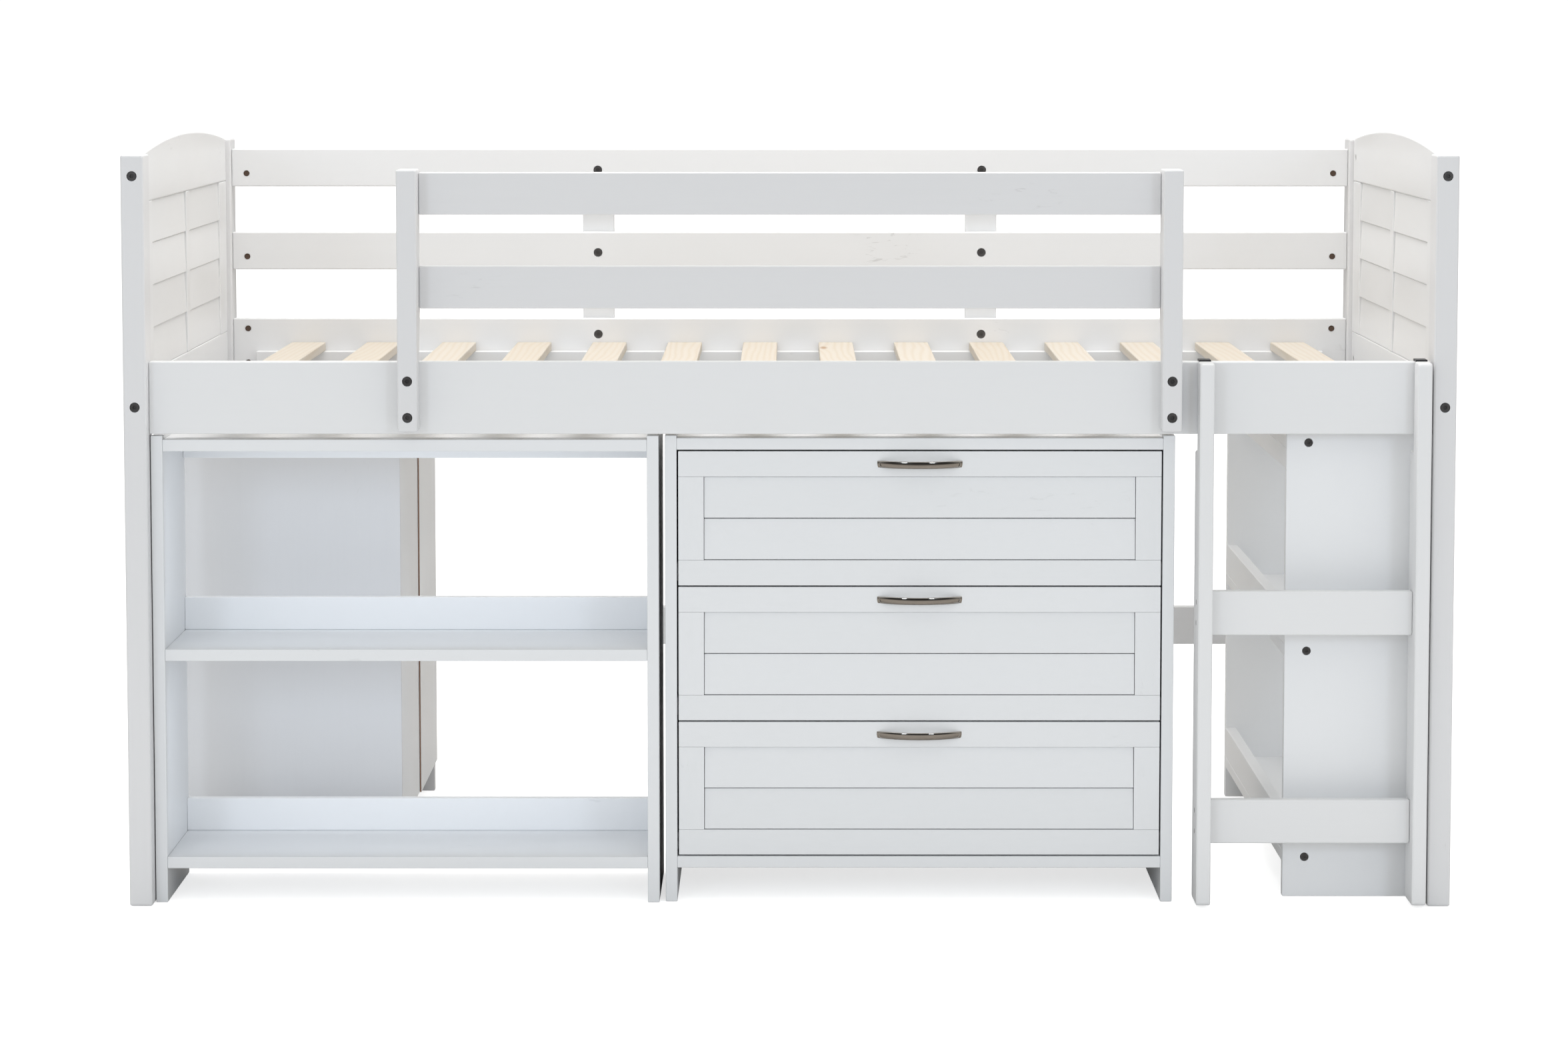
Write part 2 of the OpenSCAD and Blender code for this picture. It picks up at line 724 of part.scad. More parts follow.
module cabinet_runners()
    color("ivory") for (end = [0, 1]) {
        wall = cab_in_v[end];
        dir = end == 0 ? 1 : -1;
        x = [desk_x[0] + 6, desk_x[1]];
        z = [desk_z[0] - channel_play - 8, desk_z[1] + channel_play + 8];
        difference() {
            board(x, dir > 0 ? [wall, wall + channel_w] : [wall - channel_w, wall], z);
            board([x[0] - 1, x[1] + 1],
                  dir > 0 ? [wall + channel_lip, wall + channel_w + 1]
                          : [wall - channel_w - 1, wall - channel_lip],
                  [desk_z[0] - channel_play, desk_z[1] + channel_play]);
        }
    }

module desk_board()
    color("whitesmoke") board(desk_x, desk_v, desk_z);

// Lipping along the pull-out edge, deeper than the board so that fingers can draw it
lip_t = 8;
lip_drop = 14;
module desk_lip()
    color("whitesmoke") board([desk_x[0] - lip_t, desk_x[0]], desk_v, [desk_z[0] - lip_drop, desk_z[1]]);

// ---------------------------------------------------------------- nodes

post(-1, 0);  // post_front_left
post(1, 0);  // post_front_right
post(-1, bed_depth - post_d);  // post_back_left
post(1, bed_depth - post_d);  // post_back_right
mirror([1, 0, 0]) crest_rail();  // left_crest_rail
crest_rail();  // right_crest_rail
mirror([1, 0, 0]) end_stiles();  // left_end_stiles
end_stiles();  // right_end_stiles
mirror([1, 0, 0]) louvres();  // left_louvres
louvres();  // right_louvres
front_side_rail();
back_rails();
back_braces();
back_stretcher();
slat_ledgers();
bed_slats();
guard_uprights();
guard_boards();
bed_bolts();
cross_dowels();
ladder_legs();
ladder_rungs();
ladder_hooks();
ladder_screws();
bookcase_sides();
bookcase_shelves();
bookcase_backstops();
end_bookcase_sides();
end_bookcase_shelves();
end_bookcase_backstops();
unit_bolts();
chest_sides();
chest_top();
chest_bottom();
chest_back();
chest_runners();
for (n = [1:drawer_count]) {
    chest_rollers(n);
    drawer_front(n);
    drawer_box(n);
    drawer_handle(n);
    drawer_runners(n);
    drawer_rollers(n);
}
cabinet_sides();
cabinet_shelves();
cabinet_back();
cabinet_runners();
desk_board();
desk_lip();
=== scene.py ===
# %% [markdown]
# # A low loft bed with its storage units
# The bed is a painted pine frame with louvred, arched ends. A chest of drawers, two open
# bookcases and a desk cabinet stand under it, and a ladder hooks over the side rail. The
# measured frame comes first, because every position below is read from it.

# %% Load the frame
import json
import math

import bpy
import numpy as np
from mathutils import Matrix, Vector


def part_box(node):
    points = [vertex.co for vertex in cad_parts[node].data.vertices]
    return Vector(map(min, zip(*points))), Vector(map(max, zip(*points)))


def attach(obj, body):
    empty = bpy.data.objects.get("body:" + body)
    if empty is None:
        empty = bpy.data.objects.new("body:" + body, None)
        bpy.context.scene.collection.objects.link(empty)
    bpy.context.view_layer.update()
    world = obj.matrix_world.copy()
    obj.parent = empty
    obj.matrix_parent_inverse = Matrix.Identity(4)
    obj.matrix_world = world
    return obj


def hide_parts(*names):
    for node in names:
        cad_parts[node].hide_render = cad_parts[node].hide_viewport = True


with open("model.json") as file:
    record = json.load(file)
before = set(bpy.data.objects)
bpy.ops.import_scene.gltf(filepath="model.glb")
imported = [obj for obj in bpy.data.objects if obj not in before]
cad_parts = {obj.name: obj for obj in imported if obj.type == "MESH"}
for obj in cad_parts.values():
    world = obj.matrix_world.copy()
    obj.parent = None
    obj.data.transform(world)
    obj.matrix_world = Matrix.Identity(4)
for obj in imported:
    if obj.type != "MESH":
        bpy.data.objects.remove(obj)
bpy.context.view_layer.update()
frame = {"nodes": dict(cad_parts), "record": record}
RECORD = frame["record"]
BODY_OF = {n: b for b, names in RECORD["behaviour"]["bodies"].items() for n in names}
RNG = np.random.default_rng(11)


# %% [markdown]
# ## Finding the boards
# Each measured node is a group of separate boards, such as the three back rails. To give
# every board soft edges, the boards of a node have to be told apart. Two triangles belong
# to one board when they share a corner, so a label spreads over shared corners until it
# stops changing. This works on whole arrays, and it needs no list of sizes.

# %% Boards of a node
def corners_of(node):
    """Distinct corners of a node and its triangles, as rows that point at those corners."""
    mesh = frame["nodes"][node].data
    co = np.empty(len(mesh.vertices) * 3)
    mesh.vertices.foreach_get("co", co)
    mesh.calc_loop_triangles()
    tri = np.empty(len(mesh.loop_triangles) * 3, int)
    mesh.loop_triangles.foreach_get("vertices", tri)
    _, first, same = np.unique(np.round(co.reshape(-1, 3), 5), axis=0,
                               return_index=True, return_inverse=True)
    return co.reshape(-1, 3)[first], same.ravel()[tri].reshape(-1, 3)


def islands(count, cells):
    """Label of each of count corners: the smallest corner number that its cells can reach."""
    label = np.arange(count)
    while True:
        before = label.copy()
        low = label[cells].min(axis=1)
        for column in cells.T:
            np.minimum.at(label, column, low)
        if (label == before).all():
            return np.unique(label, return_inverse=True)[1]


def boxes_of(co, label):
    """Lowest and highest corner of each island, as an array of n pairs."""
    low = np.full((label.max() + 1, 3), np.inf)
    high = -low
    np.minimum.at(low, label, co)
    np.maximum.at(high, label, co)
    return np.stack([low, high], axis=1)


def boards(node):
    """Boxes of a node's separate boards, in a fixed order from low to high corner."""
    co, tri = corners_of(node)
    found = boxes_of(co, islands(len(co), tri))
    return found[np.lexsort(np.round(found[:, 0, ::-1], 4).T)]


print("back rails:", len(boards("back_rails")), "boards;",
      "slats:", len(boards("bed_slats")), "boards")


# %% [markdown]
# ## A board with soft edges
# A planed board has its edges broken with sandpaper, and the thin bright line that such an
# edge catches is what makes furniture look solid. A board is an outline carried through a
# thickness. The outline's corners become arcs, and near each face the whole outline draws
# in along a quarter circle, so all twelve edges are round with one formula.

# %% Outline with round corners
ARC_STEPS = 4
FLAT_MARGIN = 0.4
CORNER_SHARE = 1.2
CAP_INSET = 1.08
THIN_SHARE = 0.3


def round_outline(corners, radius):
    """Points and outward normals of a counter-clockwise polygon with round corners.

    At a corner the two edge normals n1 and n2 give the mitre m = (n1 + n2) / (1 + n1.n2).
    The arc's centre is the corner minus radius times m, and its points are the centre plus
    radius times a normal that turns from n1 to n2. One more point stands a little way along
    the straight on each side, so the flat faces stay flat when they are shaded smoothly."""
    p = np.asarray(corners, float)
    edge = np.roll(p, -1, axis=0) - p
    edge /= np.linalg.norm(edge, axis=1, keepdims=True)
    after = np.stack([edge[:, 1], -edge[:, 0]], axis=1)
    before = np.roll(after, 1, axis=0)
    incoming = np.roll(edge, 1, axis=0)
    cross = incoming[:, 0] * edge[:, 1] - incoming[:, 1] * edge[:, 0]
    sign = np.where(cross >= 0, 1.0, -1.0)[:, None]
    mitre = (before + after) / (1 + (before * after).sum(axis=1, keepdims=True))
    centre = p - sign * radius * mitre
    turn = np.arctan2(cross, (incoming * edge).sum(axis=1))
    angle = np.arctan2(before[:, 1], before[:, 0])[:, None]
    angle = angle + turn[:, None] * np.linspace(0, 1, ARC_STEPS)
    normal = np.stack([np.cos(angle), np.sin(angle)], axis=2)
    arc = centre[:, None] + sign[:, None] * radius * normal
    margin = FLAT_MARGIN * radius
    points = np.concatenate([arc[:, :1] - margin * incoming[:, None], arc,
                             arc[:, -1:] + margin * edge[:, None]], axis=1)
    normals = np.concatenate([normal[:, :1], normal, normal[:, -1:]], axis=1)
    return points.reshape(-1, 2), normals.reshape(-1, 2)


# %% Outline carried through a thickness
def prism(corners, axis, low, high, radius, corner=None):
    """Vertices and faces of a board: a rounded outline carried along an axis.

    Layer depths follow low + r (1 - cos a) while the outline draws in by r (1 - sin a), for
    a from 0 to a right angle, then the same from the high side. A last small step in, to
    CAP_INSET r, keeps the flat cap flat when it is shaded smoothly. The outline lies in the
    two other axes, in cyclic order, so its turning sense points the first cap outwards."""
    points, normals = round_outline(corners, corner or radius * CORNER_SHARE)
    a = np.linspace(0, math.pi / 2, ARC_STEPS)
    margin = FLAT_MARGIN * radius
    depth = np.concatenate([[0], radius * (1 - np.cos(a)), [radius + margin]])
    inset = np.concatenate([[radius * CAP_INSET], radius * (1 - np.sin(a)), [0]])
    layer = np.concatenate([low + depth, (high - depth)[::-1]])
    inset = np.concatenate([inset, inset[::-1]])
    flat = points[None] - inset[:, None, None] * normals[None]
    co = np.empty(flat.shape[:2] + (3,))
    co[..., axis] = layer[:, None]
    co[..., (axis + 1) % 3] = flat[..., 0]
    co[..., (axis + 2) % 3] = flat[..., 1]
    rows, ring = co.shape[:2]
    i, j = np.meshgrid(np.arange(ring), np.arange(rows - 1))
    k = (i + 1) % ring
    quads = np.stack([j * ring + i, j * ring + k, (j + 1) * ring + k, (j + 1) * ring + i],
                     axis=-1).reshape(-1, 4)
    caps = [np.arange(ring)[::-1].tolist(), (np.arange(ring) + (rows - 1) * ring).tolist()]
    return co.reshape(-1, 3), quads.tolist() + caps


def box_prism(box, radius):
    """A rounded board that fills a box, carried through its thinnest direction."""
    low, high = box
    axis = int(np.argmin(high - low))
    u, v = (axis + 1) % 3, (axis + 2) % 3
    corners = [(low[u], low[v]), (high[u], low[v]), (high[u], high[v]), (low[u], high[v])]
    radius = min(radius, THIN_SHARE * (high - low)[axis])
    return prism(corners, axis, low[axis], high[axis], radius)


print("a plain board has", len(box_prism(boards("back_rails")[0], 0.002)[1]), "faces")


# %% [markdown]
# ## Counterbores
# Frame bolts are sunk into round holes, so that sheets don't catch on them. The drill's
# place comes from the bolt itself: its long direction is the hole's axis, and the wide end
# is the head. A plain cylinder at each head is then cut out of the wood.

# %% Where the heads are
HOLE_SIDES = 28
MOUTH = 0.004
END_SHARE = 0.9


def heads(node, grow, sink):
    """Axis, centre, radius and depth range of the hole round each fastener of a node.

    A fastener's longest side gives its axis. The head is at the end whose corners lie
    farther from the axis, and that distance plus the clearance grow is the hole's radius.
    The hole runs from MOUTH in front of the head's face to sink behind it."""
    co, tri = corners_of(node)
    label = islands(len(co), tri)
    found = boxes_of(co, label)
    middle = found.mean(axis=1)
    size = found[:, 1] - found[:, 0]
    axis = size.argmax(axis=1)
    own = axis[label]
    along = np.take_along_axis(co - middle[label], own[:, None], axis=1)[:, 0]
    away = ((co - middle[label]) ** 2).sum(axis=1) - along ** 2
    half = np.take_along_axis(size, axis[:, None], axis=1)[:, 0] / 2
    at_top = np.where(along > END_SHARE * half[label], away, 0)
    at_foot = np.where(along < -END_SHARE * half[label], away, 0)
    top, foot = np.zeros(len(found)), np.zeros(len(found))
    np.maximum.at(top, label, at_top)
    np.maximum.at(foot, label, at_foot)
    side = np.where(top > foot, 1.0, -1.0)
    radius = np.sqrt(np.maximum(top, foot)) + grow
    rows = np.arange(len(found))
    face = middle[rows, axis] + side * half
    return [(int(axis[n]), middle[n], float(radius[n]), float(face[n] - side[n] * sink),
             float(face[n] + side[n] * MOUTH)) for n in rows]


def drill_mesh(holes, sides=HOLE_SIDES):
    """One mesh with a closed cylinder for every hole."""
    turn = np.arange(sides) * 2 * math.pi / sides
    ring = np.stack([np.cos(turn), np.sin(turn)], axis=1)
    co, faces = [], []
    for axis, centre, radius, deep, mouth in holes:
        low, high = sorted((deep, mouth))
        u, v = (axis + 1) % 3, (axis + 2) % 3
        block = np.empty((2, sides, 3))
        block[0, :, axis], block[1, :, axis] = low, high
        block[..., u] = centre[u] + radius * ring[:, 0]
        block[..., v] = centre[v] + radius * ring[:, 1]
        base = len(co) * 2 * sides
        i = np.arange(sides)
        k = (i + 1) % sides
        faces += (base + np.stack([i, k, k + sides, i + sides], axis=1)).tolist()
        faces += [(base + i[::-1]).tolist(), (base + i + sides).tolist()]
        co.append(block.reshape(-1, 3))
    mesh = bpy.data.meshes.new("drill")
    mesh.from_pydata(np.concatenate(co).tolist(), [], faces)
    return mesh


# Clearance round the head and depth behind its face, in metres, for each kind of fastener.
BED_HOLES = heads("bed_bolts", 0.0010, 0.0046) + heads("cross_dowels", 0.0006, 0.0010)
UNIT_HOLES = heads("unit_bolts", 0.0008, 0.0035)
LADDER_HOLES = heads("ladder_screws", 0.0004, 0.0012)
print("holes:", len(BED_HOLES), "bed,", len(UNIT_HOLES), "units,", len(LADDER_HOLES), "ladder")


# %% [markdown]
# ## From arrays to pieces
# A piece is one mesh that already lies where it belongs, so its object needs no placing.
# Three values are stored on the corners for the finishes. "Grain" counts along the board's
# own length first, so brush marks and year rings always run the right way, with a different
# start for each board. "Edge" is 1 on a rounded edge and 0 on a flat, which is where paint
# rubs thin. "Board" is one number for each board, so that neighbours differ a little in
# tone, as separate boards do.

# %% Build a piece
SHARP = math.radians(38)
GRAIN_SHIFT = 3
NEAR_BOX = 0.001
pieces = {}


def stamp(mesh, edge_reach):
    """Writes Grain, Edge and Board on a mesh's corners, from each board's own box.

    Grain is the corner's place with the axes sorted from the board's longest side to its
    shortest, plus a shift for each board. Edge is 1 minus the second-smallest distance to
    the box's faces over edge_reach, clipped to 0 and 1. Board is one random number."""
    count = len(mesh.vertices)
    co = np.empty(count * 3)
    mesh.vertices.foreach_get("co", co)
    co = co.reshape(-1, 3)
    links = np.empty(len(mesh.edges) * 2, int)
    mesh.edges.foreach_get("vertices", links)
    label = islands(count, links.reshape(-1, 2))
    box = boxes_of(co, label)
    size = box[:, 1] - box[:, 0]
    order = np.argsort(-size, axis=1)[label]
    shift = RNG.uniform(-GRAIN_SHIFT, GRAIN_SHIFT, (len(box), 3))[label]
    grain = np.take_along_axis(co, order, axis=1) + shift
    gap = np.sort(np.minimum(co - box[label, 0], box[label, 1] - co), axis=1)
    edge = np.clip(1 - gap[:, 1] / edge_reach, 0, 1)
    mesh.attributes.new("Grain", "FLOAT_VECTOR", "POINT").data.foreach_set(
        "vector", grain.ravel())
    mesh.attributes.new("Edge", "FLOAT", "POINT").data.foreach_set("value", edge)
    tone = RNG.uniform(0, 1, len(box))[label]
    mesh.attributes.new("Board", "FLOAT", "POINT").data.foreach_set("value", tone)


def cut(obj, holes):
    """Cuts the holes that fall inside an object out of its mesh, and keeps the result."""
    co = np.empty(len(obj.data.vertices) * 3)
    obj.data.vertices.foreach_get("co", co)
    co = co.reshape(-1, 3)
    low, high = co.min(0) - NEAR_BOX, co.max(0) + NEAR_BOX
    near = []
    for hole in holes:
        axis, centre, _, deep, mouth = hole
        across = [(axis + 1) % 3, (axis + 2) % 3]
        inside = (centre[across] > low[across]).all() and (centre[across] < high[across]).all()
        if inside and low[axis] < max(deep, mouth) and min(deep, mouth) < high[axis]:
            near.append(hole)
    if not near:
        return 0
    drill = bpy.data.objects.new("drill", drill_mesh(near))
    bpy.context.scene.collection.objects.link(drill)
    step = obj.modifiers.new("holes", "BOOLEAN")
    step.operation, step.solver, step.object = "DIFFERENCE", "EXACT", drill
    graph = bpy.context.evaluated_depsgraph_get()
    drilled = bpy.data.meshes.new_from_object(obj.evaluated_get(graph))
    obj.modifiers.clear()
    plain, obj.data = obj.data, drilled
    drilled.name = plain.name
    bpy.data.meshes.remove(plain)
    bpy.data.objects.remove(drill)
    return len(near)


def build(name, parts, nodes, finish, holes=(), edge_reach=0.0025, look=None):
    """Joins parts (vertices and faces) into one piece that stands for the named nodes.

    The first node's body carries the piece. finish names the finish that the piece gets, and
    look names another one to use in its place where one is wanted: the white board, the lighter
    copy of the white paint, which is painted light, or the darker copy, which is painted shade."""
    start = np.cumsum([0] + [len(co) for co, _ in parts])
    co = np.concatenate([p[0] for p in parts])
    faces = [[v + base for v in face] for (_, block), base in zip(parts, start) for face in block]
    mesh = bpy.data.meshes.new(name)
    mesh.from_pydata(co.tolist(), [], faces)
    obj = bpy.data.objects.new(name, mesh)
    bpy.context.scene.collection.objects.link(obj)
    cuts = cut(obj, holes) if holes else 0
    mesh = obj.data
    mesh.materials.clear()
    mesh.materials.append(FINISH[look or finish])
    stamp(mesh, edge_reach)
    mesh.polygons.foreach_set("use_smooth", np.ones(len(mesh.polygons), bool))
    mesh.polygons.foreach_set("material_index", np.zeros(len(mesh.polygons), int))
    mesh.set_sharp_from_angle(angle=SHARP)
    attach(obj, BODY_OF[nodes[0]])
    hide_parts(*nodes)
    pieces[name] = obj
    print(f"{name}: {len(parts)} boards, {len(mesh.polygons)} faces, {cuts} holes")
    return obj


# %% [markdown]
# ## Tools for finishes
# Every finish is a small network of nodes. Effects that several finishes share, such as
# brush marks or grain, are built once as node groups. Two short helpers keep that readable:
# one adds a node with its values, and one makes a group with named sockets.

# %% Node helpers
def node(tree, kind, inputs=None, **settings):
    """Adds a node. A value in inputs is either a plain value or a socket to link from."""
    made = tree.nodes.new(kind)
    for key, value in settings.items():
        setattr(made, key, value)
    for key, value in (inputs or {}).items():
        if isinstance(value, bpy.types.NodeSocket):
            tree.links.new(value, made.inputs[key])
        else:
            made.inputs[key].default_value = value
    return made


def new_group(name, inputs, outputs):
    """A shader node group with the named sockets; returns tree, input node, output node."""
    tree = bpy.data.node_groups.new(name, "ShaderNodeTree")
    for label, kind, value in inputs:
        tree.interface.new_socket(label, in_out="INPUT", socket_type=kind).default_value = value
    for label, kind in outputs:
        tree.interface.new_socket(label, in_out="OUTPUT", socket_type=kind)
    return tree, tree.nodes.new("NodeGroupInput"), tree.nodes.new("NodeGroupOutput")


def stretched_noise(tree, place, stretch, scale, detail=3.0, rough=0.5, warp=0.0):
    """Noise on coordinates multiplied by stretch; small numbers draw it out along an axis."""
    scaled = node(tree, "ShaderNodeVectorMath", {0: place, 1: stretch}, operation="MULTIPLY")
    made = node(tree, "ShaderNodeTexNoise", {"Vector": scaled.outputs[0], "Scale": scale,
                                             "Detail": detail, "Roughness": rough,
                                             "Distortion": warp})
    return made.outputs["Fac"]


def ramp(tree, value, low, high, to_low=0.0, to_high=1.0):
    """Value between low and high, taken smoothly to a new range."""
    return node(tree, "ShaderNodeMapRange", {"Value": value, "From Min": low, "From Max": high,
                                             "To Min": to_low, "To Max": to_high},
                interpolation_type="SMOOTHSTEP").outputs["Result"]


def maths(tree, operation, a, b):
    """One arithmetic step on two values or sockets."""
    return node(tree, "ShaderNodeMath", {0: a, 1: b}, operation=operation).outputs[0]


def blend_colour(tree, amount, a, b):
    """Colour a where amount is 0, and b where it is 1."""
    return node(tree, "ShaderNodeMix", {0: amount, 6: a, 7: b}, data_type="RGBA").outputs[2]


FLOAT, VECTOR, COLOUR = "NodeSocketFloat", "NodeSocketVector", "NodeSocketColor"
GREY = (0.5, 0.5, 0.5, 1.0)
print("node helpers ready")


# %% [markdown]
# ## Group: painted wood
# White furniture paint is never one flat tone. The roller or brush leaves fine lines along
# the board, the coat is a little thicker in places, and handling leaves a few grey scuffs.
# Each of these is noise at its own scale: lines stretched along the grain, cloudy patches
# of a hand's width, and rare marks where two noises are both high.

# %% Painted wood group
tree, gin, gout = new_group(
    "painted wood",
    [("Grain", VECTOR, (0, 0, 0)), ("Edge", FLOAT, 0.0), ("Board", FLOAT, 0.5),
     ("Paint", COLOUR, GREY), ("Thin Paint", COLOUR, GREY), ("Brush", FLOAT, 1.0),
     ("Patches", FLOAT, 1.0), ("Scuffs", FLOAT, 1.0), ("Sheen Level", FLOAT, 0.4)],
    [("Color", COLOUR), ("Roughness", FLOAT), ("Height", FLOAT)])
place = gin.outputs["Grain"]
lines = stretched_noise(tree, place, (5.0, 150.0, 150.0), 1.0, 4.0, 0.6, 0.3)
cloud = stretched_noise(tree, place, (3.0, 9.0, 9.0), 1.0, 3.0, 0.5)
fleck = stretched_noise(tree, place, (260.0, 700.0, 700.0), 1.0, 2.0, 0.5)
mark = stretched_noise(tree, place, (30.0, 110.0, 110.0), 1.0, 5.0, 0.65, 0.8)
where = stretched_noise(tree, place, (3.1, 6.0, 6.0), 1.0, 0.0)
# A scuff needs both: a fine streak (mark) and a spot of the board that was knocked (where).
scuff = maths(tree, "MULTIPLY", ramp(tree, mark, 0.60, 0.70), ramp(tree, where, 0.70, 0.76))
scuff = maths(tree, "MULTIPLY", scuff, gin.outputs["Scuffs"])
thin = maths(tree, "MULTIPLY", ramp(tree, cloud, 0.35, 0.70), gin.outputs["Patches"])
thin = maths(tree, "ADD", thin, maths(tree, "MULTIPLY", ramp(tree, lines, 0.45, 0.8),
                                      gin.outputs["Brush"]))
thin = maths(tree, "ADD", thin, maths(tree, "MULTIPLY", gin.outputs["Board"], 0.45))
rub = maths(tree, "MULTIPLY", gin.outputs["Edge"], ramp(tree, mark, 0.45, 0.62, 0.0, 0.30))
thin = maths(tree, "MINIMUM", maths(tree, "ADD", thin, rub), 1.0)
coat = blend_colour(tree, thin, gin.outputs["Paint"], gin.outputs["Thin Paint"])
coat = blend_colour(tree, scuff, coat, (0.36, 0.35, 0.34, 1.0))
tree.links.new(coat, gout.inputs["Color"])
# The sheen stays above 0.28 everywhere, because a glossier patch would get a crisp edge
# when the picture is denoised.
sheen = maths(tree, "ADD", gin.outputs["Sheen Level"], ramp(tree, cloud, 0.3, 0.7, -0.05, 0.06))
sheen = maths(tree, "ADD", sheen, maths(tree, "MULTIPLY", scuff, 0.2))
tree.links.new(sheen, gout.inputs["Roughness"])
relief = maths(tree, "MULTIPLY", lines, gin.outputs["Brush"])
relief = maths(tree, "ADD", relief, maths(tree, "MULTIPLY", cloud, 0.25))
relief = maths(tree, "ADD", relief, maths(tree, "MULTIPLY", fleck, 0.12))
relief = maths(tree, "SUBTRACT", relief, maths(tree, "MULTIPLY", scuff, 0.5))
tree.links.new(relief, gout.inputs["Height"])
PAINTED = tree
print("painted wood group:", len(tree.nodes), "nodes")


# %% [markdown]
# ## Group: bare wood figure
# Sawn pine shows its year rings as long lines that drift apart and close round knots. The
# rings are a sine wave across the board whose phase is shifted by a slow noise along it,
# and by the distance to the nearest knot, which bends the lines round the knot.

# %% Bare wood group
tree, gin, gout = new_group(
    "wood figure",
    [("Grain", VECTOR, (0, 0, 0)), ("Board", FLOAT, 0.5), ("Light Wood", COLOUR, GREY),
     ("Dark Wood", COLOUR, GREY), ("Knot", COLOUR, GREY), ("Rings", FLOAT, 700.0),
     ("Knots", FLOAT, 1.0), ("Figure", FLOAT, 0.6)],
    [("Color", COLOUR), ("Roughness", FLOAT), ("Height", FLOAT)])
place = gin.outputs["Grain"]
spots = node(tree, "ShaderNodeVectorMath", {0: place, 1: (2.3, 11.0, 11.0)},
             operation="MULTIPLY")
knots = node(tree, "ShaderNodeTexVoronoi", {"Vector": spots.outputs[0], "Scale": 1.0},
             feature="F1").outputs["Distance"]
drift = stretched_noise(tree, place, (1.6, 10.0, 10.0), 1.0, 2.0)
split = node(tree, "ShaderNodeSeparateXYZ", {0: place})
depth = maths(tree, "MULTIPLY", split.outputs[2], 0.6)
across = maths(tree, "ADD", split.outputs[1], depth)
phase = maths(tree, "MULTIPLY", across, gin.outputs["Rings"])
phase = maths(tree, "ADD", phase, maths(tree, "MULTIPLY", drift, 26.0))
phase = maths(tree, "ADD", phase, maths(tree, "DIVIDE", 1.1, maths(tree, "ADD", knots, 0.09)))
wave = maths(tree, "ADD", maths(tree, "MULTIPLY", maths(tree, "SINE", phase, 0.0), 0.5), 0.5)
pore = stretched_noise(tree, place, (18.0, 900.0, 900.0), 1.0, 3.0, 0.6)
figure = maths(tree, "MULTIPLY", maths(tree, "POWER", wave, 2.2), gin.outputs["Figure"])
figure = maths(tree, "ADD", figure, ramp(tree, pore, 0.5, 0.8, 0.0, 0.22))
figure = maths(tree, "ADD", figure, maths(tree, "MULTIPLY", gin.outputs["Board"], 0.30))
figure = maths(tree, "MINIMUM", figure, 1.0)
wood = blend_colour(tree, figure, gin.outputs["Light Wood"], gin.outputs["Dark Wood"])
knot = maths(tree, "MULTIPLY", ramp(tree, knots, 0.10, 0.03), gin.outputs["Knots"])
wood = blend_colour(tree, knot, wood, gin.outputs["Knot"])
tree.links.new(wood, gout.inputs["Color"])
tree.links.new(ramp(tree, figure, 0.0, 1.0, 0.62, 0.50), gout.inputs["Roughness"])
tree.links.new(maths(tree, "ADD", maths(tree, "MULTIPLY", wave, 0.6), pore), gout.inputs["Height"])
FIGURED = tree
print("wood figure group:", len(tree.nodes), "nodes")


# %% [markdown]
# ## Group: worked metal
# Plated and coated fittings carry fine cast or rolled texture and finger smudges. Smudges
# only change how rough the surface is, and the texture only its height, so the metal keeps
# its clean colour.

# %% Worked metal group
tree, gin, gout = new_group(
    "worked metal",
    [("Place", VECTOR, (0, 0, 0)), ("Metal", COLOUR, GREY), ("Dull", COLOUR, GREY),
     ("Roughness", FLOAT, 0.3), ("Smudge", FLOAT, 0.1)],
    [("Color", COLOUR), ("Roughness", FLOAT), ("Height", FLOAT)])
place = gin.outputs["Place"]
smudge = ramp(tree, stretched_noise(tree, place, (55.0, 55.0, 55.0), 1.0, 3.0), 0.4, 0.7)
speck = stretched_noise(tree, place, (1500.0, 1500.0, 1500.0), 1.0, 2.0)
wear = maths(tree, "MULTIPLY", smudge, ramp(tree, speck, 0.45, 0.7))
tree.links.new(blend_colour(tree, wear, gin.outputs["Metal"], gin.outputs["Dull"]),
               gout.inputs["Color"])
tree.links.new(maths(tree, "ADD", gin.outputs["Roughness"],
                     maths(tree, "MULTIPLY", smudge, gin.outputs["Smudge"])),
               gout.inputs["Roughness"])
tree.links.new(speck, gout.inputs["Height"])
METAL = tree
print("worked metal group:", len(tree.nodes), "nodes")
